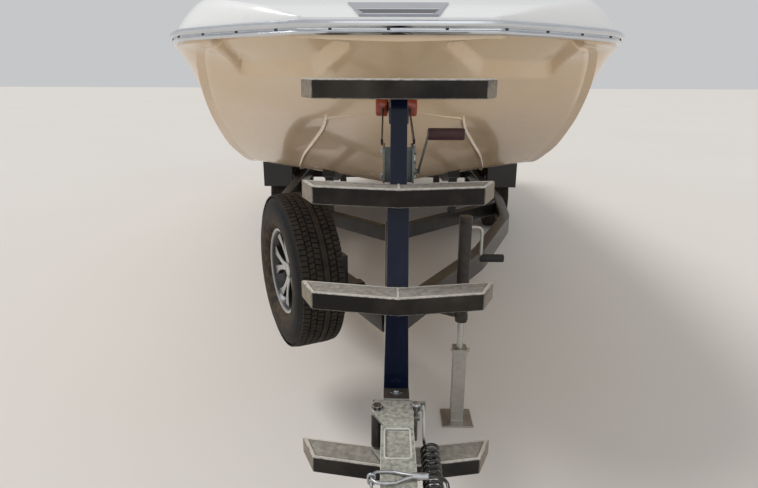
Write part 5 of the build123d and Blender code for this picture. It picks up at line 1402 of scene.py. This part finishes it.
grilles, cones = [], []
for side in (-1, 1):
    here = place_at(side * 0.605, -0.2395, 1.310, math.radians(-96), "X")
    for radius in GRILLE_RINGS:
        grilles.append(moved(turned([(radius - 0.003, 0.003), (radius - 0.002, 0.009), (radius + 0.002, 0.009),
                                     (radius + 0.003, 0.003)], closed=True), here))
    for number in range(GRILLE_BARS):
        turn = Matrix.Rotation(2 * math.pi * number / GRILLE_BARS, 4, "Z")
        grilles.append(moved(plate(box(0.018, -0.002, 0.084, 0.002), 0.003, 0.0075), here @ turn))
    cones.append(moved(CONE, here))
piece("speaker_grilles", joined(*grilles), "root", "polished_steel")
piece("speaker_cones", joined(*cones), "root", "anodised_frame", look="wheel_rubber")
print("inside fittings", len(mats), "strips")

# %% [markdown]
# ## Exhaust outlets
# The exhaust leaves through the transom under the platform, by two flared tips with rubber inside.

# %% Exhaust outlets
FLARE = turned([(0.050, -0.004), (0.078, -0.004), (0.080, 0.003), (0.066, 0.012), (0.064, 0.046),
                (0.060, 0.050), (0.055, 0.048), (0.053, 0.010), (0.050, 0.006)], closed=True)
FLAP = turned([(0.054, 0.002), (0.052, 0.012), (0.030, 0.018), (0.004, 0.020)], 40)
outlets = [place_at(side * 0.430, STEM_Y + HULL_LONG, 0.930, -QUARTER, "X") for side in (-1, 1)]
piece("exhaust_tips", joined(*[moved(FLARE, here) for here in outlets]), "root", "polished_steel")
piece("exhaust_flaps", joined(*[moved(FLAP, here) for here in outlets]), "root", "wheel_rubber")

# %% [markdown]
# ## Finishes
# Every surface is a small recipe of noise, facing and height. Noise breaks up the colour, the
# object's own normal says which faces gather dust and which step ends take a painted reflection,
# height says where the hull takes painted shade, and radius where dirt lies on the tyres. Colours are written
# as a colour picker shows them and turned into Blender's linear ones.


# %% Colour and masks
def tone(red, green, blue):
    """A linear colour from 0-255 numbers of a colour picker."""
    return tuple(((c / 255 + 0.055) / 1.055) ** 2.4 if c > 10 else c / 3294 for c in (red, green, blue)) + (1,)


def facing(where, axis):
    """How far the surface faces along one of the object's own axes, from -1 to 1."""
    return Sock(where.tree, where.socket.node.outputs["Normal"]).axis(axis)


def clouds(where, size, detail, dark, light):
    """A colour that wanders between two tones."""
    return where.noise(size, detail).tint(tone(*dark), tone(*light))


def span(number, low, high):
    """A share from 0 to 1 as a number from low to high."""
    return number * (high - low) + low


def dusty(name, dark, light, dust, share, rough, patch, metal=0.0, coat=0.0, grain=0.0004, shine=0.25):
    """Paint whose upper faces hold dust, with drifts of it elsewhere too."""
    shader, where = finish(name)
    body = clouds(where, patch, 4, dark, light)
    lying = facing(where, "Z").between(0.35, 0.95)
    drift = where.noise(patch * 0.6, 5, 0.65).between(0.36, 0.70)
    speck = where.noise(0.006, 2).between(0.60, 0.75) * (0.35 * share)
    cover = ((lying * (drift * 0.6 + 0.4) + drift * 0.3) * share).most(speck)
    feed(shader, Base_Color=cover.tint(body, tone(*dust)), Roughness=span(cover.between(0, 0.8), *rough),
         Normal=where.noise(0.003, 3).relief(grain), Metallic=metal, Coat_Weight=coat, Coat_Roughness=0.08,
         Specular_IOR_Level=shine)


def polished(name, dark, light, rough, stretch=(1, 1, 1), size=0.02, grain=0.0002):
    """Bare or plated metal with cloudy, lightly scratched polish."""
    shader, where = finish(name)
    cloud = where.stretched(*stretch).noise(size, 4)
    feed(shader, Base_Color=cloud.tint(tone(*dark), tone(*light)), Metallic=1.0,
         Roughness=span(cloud.between(0.3, 0.7), *rough),
         Normal=where.stretched(*stretch).noise(size * 0.2, 3).relief(grain, 0.5))


# %% [markdown]
# ### Gelcoat
# Gelcoat is coloured resin under a polish. The hull's is a sand colour with faint clouds, water
# marks that run down, and painted shade low on the sides. The clear coat gives its soft mirror.

# %% Gelcoat
shader, where = finish("cream_gelcoat")
runs = where.stretched(9, 9, 0.9).noise(0.5, 4).between(0.50, 0.78) * 0.16
height = where.axis("Z")
# Painted shade: low on the sides the colour blends towards tone(176, 150, 120), the hull's colour in shadow.
painted_shade_low = height.math("MULTIPLY_ADD", height, -1.9, 2.45, clamp=True)
painted_shade_low = painted_shade_low * where.noise(0.09, 5).between(0.35, 0.7) * 0.18
marked = runs.tint(clouds(where, 1.1, 3, (221, 193, 158), (230, 204, 170)), tone(234, 219, 198))
feed(shader, Base_Color=painted_shade_low.tint(marked, tone(176, 150, 120)), Coat_Weight=0.55, Coat_Roughness=0.06,
     Roughness=painted_shade_low * 0.5 + where.noise(0.05, 4) * 0.12 + 0.16,
     Normal=where.noise(0.35, 2).relief(0.0012, 0.35))

shader, where = finish("white_gelcoat")
cloud = clouds(where, 0.6, 4, (226, 226, 224), (240, 240, 239))
scuff = where.stretched(1, 5, 1).noise(0.05, 5).between(0.62, 0.8) * 0.25
feed(shader, Base_Color=scuff.tint(cloud, tone(186, 184, 178)), Coat_Weight=0.5, Coat_Roughness=0.06,
     Roughness=scuff * 0.6 + where.noise(0.04, 3) * 0.12 + 0.18,
     Normal=where.noise(0.25, 2).relief(0.0010, 0.3))

# %% [markdown]
# ### Plated, cast and bare metal
# One recipe serves them all: cloudy polish, stretched along the way the piece was drawn or
# rubbed. The rims are two finishes in one: faces that look outward are machined bright, and the
# pockets between them are painted black.

# %% Metals
METALS = [  # name, darkest and lightest tone, roughness from and to, stretch, cloud size, grain
    ("polished_steel", (196, 200, 206), (226, 229, 233), (0.07, 0.24), (1, 1, 6), 0.08, 0.0003),
    ("dark_steel", (52, 48, 46), (88, 84, 80), (0.30, 0.50)),
    ("anodised_post", (150, 152, 156), (176, 178, 182), (0.25, 0.40), (1, 1, 12), 0.05),
    ("shaft_steel", (170, 170, 170), (200, 200, 202), (0.15, 0.30), (1, 9, 1), 0.02),
    ("bronze", (140, 102, 52), (186, 144, 84), (0.22, 0.45), (1, 1, 1), 0.03),
    ("galvanised", (150, 152, 154), (206, 208, 210), (0.28, 0.52), (1, 1, 1), 0.012, 0.0003),
    ("winch_zinc", (84, 88, 86), (138, 142, 138), (0.35, 0.60), (1, 1, 1), 0.010, 0.0003),
    ("jack_zinc", (146, 144, 138), (198, 196, 190), (0.32, 0.58), (1, 1, 4), 0.03, 0.0004),
]
for row in METALS:
    polished(*row)

shader, where = finish("alloy")
bright = facing(where, "Z").between(0.55, 0.8)
dust = where.noise(0.03, 5).between(0.5, 0.85) * 0.22
two = bright.tint(tone(16, 16, 17), clouds(where, 0.02, 3, (176, 176, 176), (214, 214, 213)))
feed(shader, Base_Color=dust.tint(two, tone(140, 124, 104)), Metallic=bright * (1 - dust) * 0.9,
     Roughness=dust * 0.6 + 0.30, Coat_Weight=0.15)

# %% [markdown]
# ### Rubber and tyre
# Tyre rubber is a warm dark grey. The tread's tops and the shoulder carry sand from the yard,
# which a mask of the radius places, and the sidewall has fine rings that a mould leaves. The
# cable's straight lead has a clear sheath over bright wire, and its coil is black.

# %% Rubber
SIDEWALL_RINGS = 900
LEAD_ENDS = (NOSE_Y + 0.405, NOSE_Y + 0.415)
shader, where = finish("tyre")
flat = where.stretched(1, 1, 0)
radius = flat.add("ShaderNodeVectorMath", {"operation": "LENGTH"}, {0: flat}, out=1)
sand = radius.between(0.325, 0.352) * 0.12 + radius.between(0.30, 0.24) * 0.32
grip = where.noise(0.035, 5).between(0.30, 0.72) * sand
rings = (radius * SIDEWALL_RINGS).alone("SINE") * radius.between(0.318, 0.312) * radius.between(0.25, 0.256)
feed(shader, Base_Color=grip.tint(clouds(where, 0.05, 4, (20, 20, 21), (35, 35, 35)), tone(138, 112, 80)),
     Roughness=grip * 0.3 + where.noise(0.02, 3) * 0.2 + 0.55, Specular_IOR_Level=0.2,
     Normal=(rings * 0.5 + where.noise(0.004, 3) * 0.6).relief(0.0006))

shader, where = finish("cable_sheath")
film = where.noise(0.02, 4).between(0.5, 0.8) * 0.2
black = film.tint(tone(15, 15, 16), tone(96, 90, 82))
feed(shader, Base_Color=where.axis("Y").between(*LEAD_ENDS).tint(black, tone(192, 190, 180)),
     Roughness=film + 0.16, Coat_Weight=0.5, Coat_Roughness=0.1)

# %% [markdown]
# ### Trailer paint
# The trailer is powder coated, then driven on sand roads. The steps are black on the front, dusty
# on top, and painted a light tan on their ends as a reflection of the bright ground. The winch post is a deep
# navy gloss.
# The coupler has the most dust, and its paleness and the swing tongue's are partly painted sunlight: its black
# shows only where hands wipe it.

# %% Trailer paint
PAINTS = [  # name, darkest and lightest tone, dust, how much of it, roughness from and to, patch size
    ("wheel_rubber", (24, 24, 25), (38, 38, 39), (96, 88, 78), 0.15, (0.5, 0.7), 0.04),
    ("red_grip", (48, 26, 30), (66, 36, 40), (120, 104, 90), 0.25, (0.45, 0.65), 0.03),
    ("black_frame", (22, 21, 22), (36, 34, 34), (112, 102, 90), 0.42, (0.30, 0.75), 0.20),
    ("axle_paint", (28, 27, 27), (46, 43, 40), (124, 106, 86), 0.55, (0.45, 0.8), 0.10),
    ("jack_paint", (34, 32, 31), (54, 50, 47), (126, 112, 96), 0.40, (0.38, 0.7), 0.05),
    # The coupler's pale dust is partly painted sunlight, which fell on it in front of the bow's shadow.
    ("coupler_paint", (66, 66, 63), (108, 108, 102), (180, 178, 165), 0.80, (0.40, 0.75), 0.022),
    # Edge finishes for bevels: paler than their paint, partly wear and partly painted highlight along the edge.
    ("rubbed_edge", (186, 186, 178), (222, 221, 214), (170, 164, 150), 0.30, (0.30, 0.55), 0.02),
    ("dusty_edge", (46, 43, 41), (78, 74, 70), (212, 206, 196), 1.0, (0.35, 0.65), 0.03),
    ("navy_edge", (70, 80, 100), (120, 130, 150), (150, 146, 140), 0.25, (0.25, 0.5), 0.05),
    ("step_lip", (150, 147, 141), (206, 203, 196), (222, 214, 198), 0.45, (0.4, 0.7), 0.02),
    ("grip_tape", (82, 80, 76), (122, 119, 113), (172, 166, 154), 0.70, (0.8, 0.95), 0.03),
    ("black_bolt", (18, 18, 18), (32, 31, 30), (110, 100, 88), 0.5, (0.3, 0.6), 0.02),
    ("engine_paint", (34, 35, 37), (50, 51, 54), (90, 86, 80), 0.2, (0.35, 0.6), 0.08),
    ("cast_cover", (118, 120, 124), (146, 148, 151), (112, 104, 94), 0.2, (0.28, 0.5), 0.06),
]
PAINT_EXTRA = {"black_frame": {"coat": 0.15}, "coupler_paint": {"grain": 0.0012}, "rubbed_edge": {"shine": 0.5},
               "grip_tape": {"grain": 0.0016}, "cast_cover": {"metal": 0.6}}
for row in PAINTS:
    dusty(*row, **PAINT_EXTRA.get(row[0], {}))

shader, where = finish("black_gloss")
top = facing(where, "Z").between(0.5, 0.9) * (where.noise(0.05, 5).between(0.25, 0.7) * 0.5 + 0.35)
# Painted reflection: the steps' ends, which face sideways, take a light tan like the bright ground that gloss
# black mirrors there.
ends = (facing(where, "X").alone("ABSOLUTE").between(0.80, 0.9)
        * (where.noise(0.02, 5).between(0.2, 0.75) * 0.6 + 0.25))
cover = top.most(ends).most(where.noise(0.25, 5).between(0.45, 0.85) * 0.14)
paint = clouds(where.stretched(1, 1, 4), 0.3, 3, (17, 15, 15), (33, 29, 27))
feed(shader, Base_Color=cover.tint(paint, tone(168, 156, 138)), Roughness=cover * 0.6 + 0.18,
     Coat_Weight=(1 - cover) * 0.12, Coat_Roughness=0.05, Specular_IOR_Level=0.12,
     Normal=where.noise(0.05, 3).relief(0.0008, 0.4))

shader, where = finish("navy_post")
haze = where.stretched(3, 3, 0.6).noise(0.2, 4)
paint = haze.tint(tone(7, 12, 27), tone(14, 24, 50))
feed(shader, Base_Color=(haze.between(0.55, 0.85) * 0.06).tint(paint, tone(140, 138, 134)),
     Roughness=haze * 0.15 + 0.12, Coat_Weight=0.10, Coat_Roughness=0.04, Specular_IOR_Level=0.12,
     Normal=where.noise(0.08, 2).relief(0.0006, 0.4))

# %% [markdown]
# ### Fender tread plate
# Tread plate has short raised bars, and each stands square to its neighbours. The pattern comes
# from a grid turned by 45 degrees: in every second cell the bar runs the other way.

# %% Tread plate
PLATE_STEP = 0.034
shader, where = finish("fender_plate")
u = (where.axis("X") + where.axis("Y")) * (1 / PLATE_STEP)
v = (where.axis("X") - where.axis("Y")) * (1 / PLATE_STEP)
in_u, in_v = u.alone("FRACT"), v.alone("FRACT")
flat_u, flat_v = (in_u - 0.5).alone("ABSOLUTE"), (in_v - 0.5).alone("ABSOLUTE")
odd = ((u - in_u + v - in_v) * 0.5 + 0.01).alone("FRACT") > 0.4
bar_one = flat_u.between(0.44, 0.36) * flat_v.between(0.15, 0.09)
bar_two = flat_v.between(0.44, 0.36) * flat_u.between(0.15, 0.09)
bars = (bar_one * odd + bar_two * (1 - odd)) * facing(where, "Z").between(0.8, 0.95)
dust = facing(where, "Z").between(0.4, 0.9) * where.noise(0.06, 5).between(0.3, 0.75) * (1 - bars * 0.6) * 0.5
feed(shader, Base_Color=dust.tint(clouds(where, 0.2, 3, (20, 20, 21), (33, 32, 32)), tone(124, 112, 98)),
     Roughness=dust * 0.5 + 0.28, Normal=bars.relief(0.0016))

# %% [markdown]
# ### Soft materials
# The bunks wear carpet, the strap is woven nylon and the seats are grained vinyl. Each weave is
# made from its own threads at their real size, so it holds up close by.

# %% Carpet, webbing and vinyl
THREADS, RIBS, VINYL_GRAIN = 2600, 1500, 420.0
shader, where = finish("bunk_carpet")
loops = where.noise(0.0045, 2)
pile = (where.noise(0.08, 4) * 0.5 + loops * 0.5).tint(tone(26, 26, 28), tone(66, 64, 62))
feed(shader, Base_Color=pile, Roughness=0.95, Normal=loops.relief(0.003), Sheen_Weight=0.3)

shader, where = finish("webbing")
thread, rib = (where.axis("X") * THREADS).alone("SINE"), (where.axis("Y") * RIBS).alone("SINE")
weave = (thread * 0.5 + rib * 0.5) * 0.5 + 0.5
feed(shader, Base_Color=weave.tint(tone(30, 30, 32), tone(70, 69, 68)), Roughness=0.85,
     Normal=weave.relief(0.0006))

for name, dark, light in (("vinyl", (196, 184, 162), (212, 202, 182)),
                          ("vinyl_piping", (118, 98, 76), (140, 118, 94))):
    shader, where = finish(name)
    grain = where.add("ShaderNodeTexVoronoi", {"feature": "DISTANCE_TO_EDGE"},
                      {"Vector": where, "Scale": VINYL_GRAIN})
    feed(shader, Base_Color=clouds(where, 0.15, 4, dark, light), Roughness=where.noise(0.05, 3) * 0.15 + 0.38,
         Normal=grain.between(0, 0.35).relief(0.00035, 0.6))

shader, where = finish("grey_deck")
brushed = where.stretched(1, 0.08, 1).noise(0.0025, 3)
foam = (where.noise(0.2, 4) * 0.6 + brushed * 0.4).tint(tone(112, 112, 112), tone(150, 149, 147))
feed(shader, Base_Color=foam, Roughness=0.85, Normal=brushed.relief(0.0008))

# %% [markdown]
# ### Urethane, lamps and glass
# The bow roller is cast urethane, worn where the bow rubs. The lamps have a fluted lens, and the
# nose plate, the windshield and its frame are smooth, with only faint clouds in their gloss.

# %% Urethane, lamps and glass
FLUTES = 800
shader, where = finish("amber_urethane")
worn = where.noise(0.02, 5).between(0.5, 0.8) * 0.3
feed(shader, Base_Color=worn.tint(clouds(where, 0.05, 3, (124, 38, 14), (160, 62, 26)), tone(112, 46, 26)),
     Roughness=worn * 0.5 + 0.28, Coat_Weight=0.4, Subsurface_Weight=0.15)

shader, where = finish("lamp_red")
feed(shader, Base_Color=clouds(where, 0.03, 3, (120, 8, 10), (160, 16, 16)), Roughness=0.15, Coat_Weight=0.8,
     Normal=(where.axis("X") * FLUTES).alone("SINE").relief(0.0008))

shader, where = finish("smoked_gloss")
feed(shader, Base_Color=clouds(where, 0.1, 3, (140, 144, 153), (160, 163, 171)), Metallic=0.35,
     Roughness=where.noise(0.06, 3) * 0.08 + 0.06, Coat_Weight=1.0, Coat_Roughness=0.03)

shader, where = finish("anodised_frame")
feed(shader, Base_Color=clouds(where, 0.06, 3, (24, 24, 26), (38, 38, 41)), Metallic=0.6,
     Roughness=where.noise(0.03, 3) * 0.15 + 0.3)

shader, where = finish("glass")
feed(shader, Base_Color=clouds(where, 0.3, 2, (196, 208, 208), (214, 224, 224)),
     Roughness=where.noise(0.1, 4) * 0.05 + 0.01, Transmission_Weight=1.0, IOR=1.45)

shader, where = finish("light_bar")
feed(shader, Base_Color=clouds(where.stretched(1, 6, 6), 0.05, 3, (26, 26, 29), (60, 59, 60)), Roughness=0.22,
     Coat_Weight=0.25, Specular_IOR_Level=0.3)

# %% [markdown]
# ## Finishes put on
# Each solid takes the finish of its slot in the record, unless it is named here. Solids with worn
# and highlit edges have a second one, which their bevels use: a paler finish, partly painted highlight. The
# pieces made above say theirs themselves.

# %% Finishes put on
SLOT_OF = {row["node"]: row["material_slot"] for row in frame["record"]["subparts"]}
# The swing tongue takes the coupler's pale finish: partly dust, partly painted sunlight, which fell on it in
# front of the bow's shadow.
NODE_FINISH = {"swing_tongue": "coupler_paint", "jack_leg": "jack_zinc", "winch": "winch_zinc"}
FINISH_NAME[cable.name] = "cable_sheath"
for node, thing in NODES.items():
    thing.data.materials.clear()
    thing.data.materials.append(FINISHES[NODE_FINISH.get(node, SLOT_OF[node])])
    if node in WORN_HIGHLIT_EDGES:
        thing.data.materials.append(FINISHES[WORN_HIGHLIT_EDGES[node]])
for name, wanted in FINISH_NAME.items():
    data = bpy.data.objects[name].data
    data.materials.clear()
    data.materials.append(FINISHES[wanted])
print("finishes", len(FINISHES), "pieces", len(FINISH_NAME))

# %% [markdown]
# ## Floor and last lines
# The floor is plain and pale, and far wider than the view. It isn't part of the object.

# %% Floor
FLOOR_HALF = 60
floor_mesh = bpy.data.meshes.new("floor")
floor_mesh.from_pydata([(x, y, 0) for x, y in middle_box(FLOOR_HALF, FLOOR_HALF)], [], [(0, 1, 2, 3)])
floor = linked("floor", floor_mesh)
shader, where = finish("floor_tone")
feed(shader, Base_Color=clouds(where, 3.0, 2, (214, 209, 202), (220, 215, 208)), Roughness=0.92)
floor.data.materials.append(FINISHES["floor_tone"])
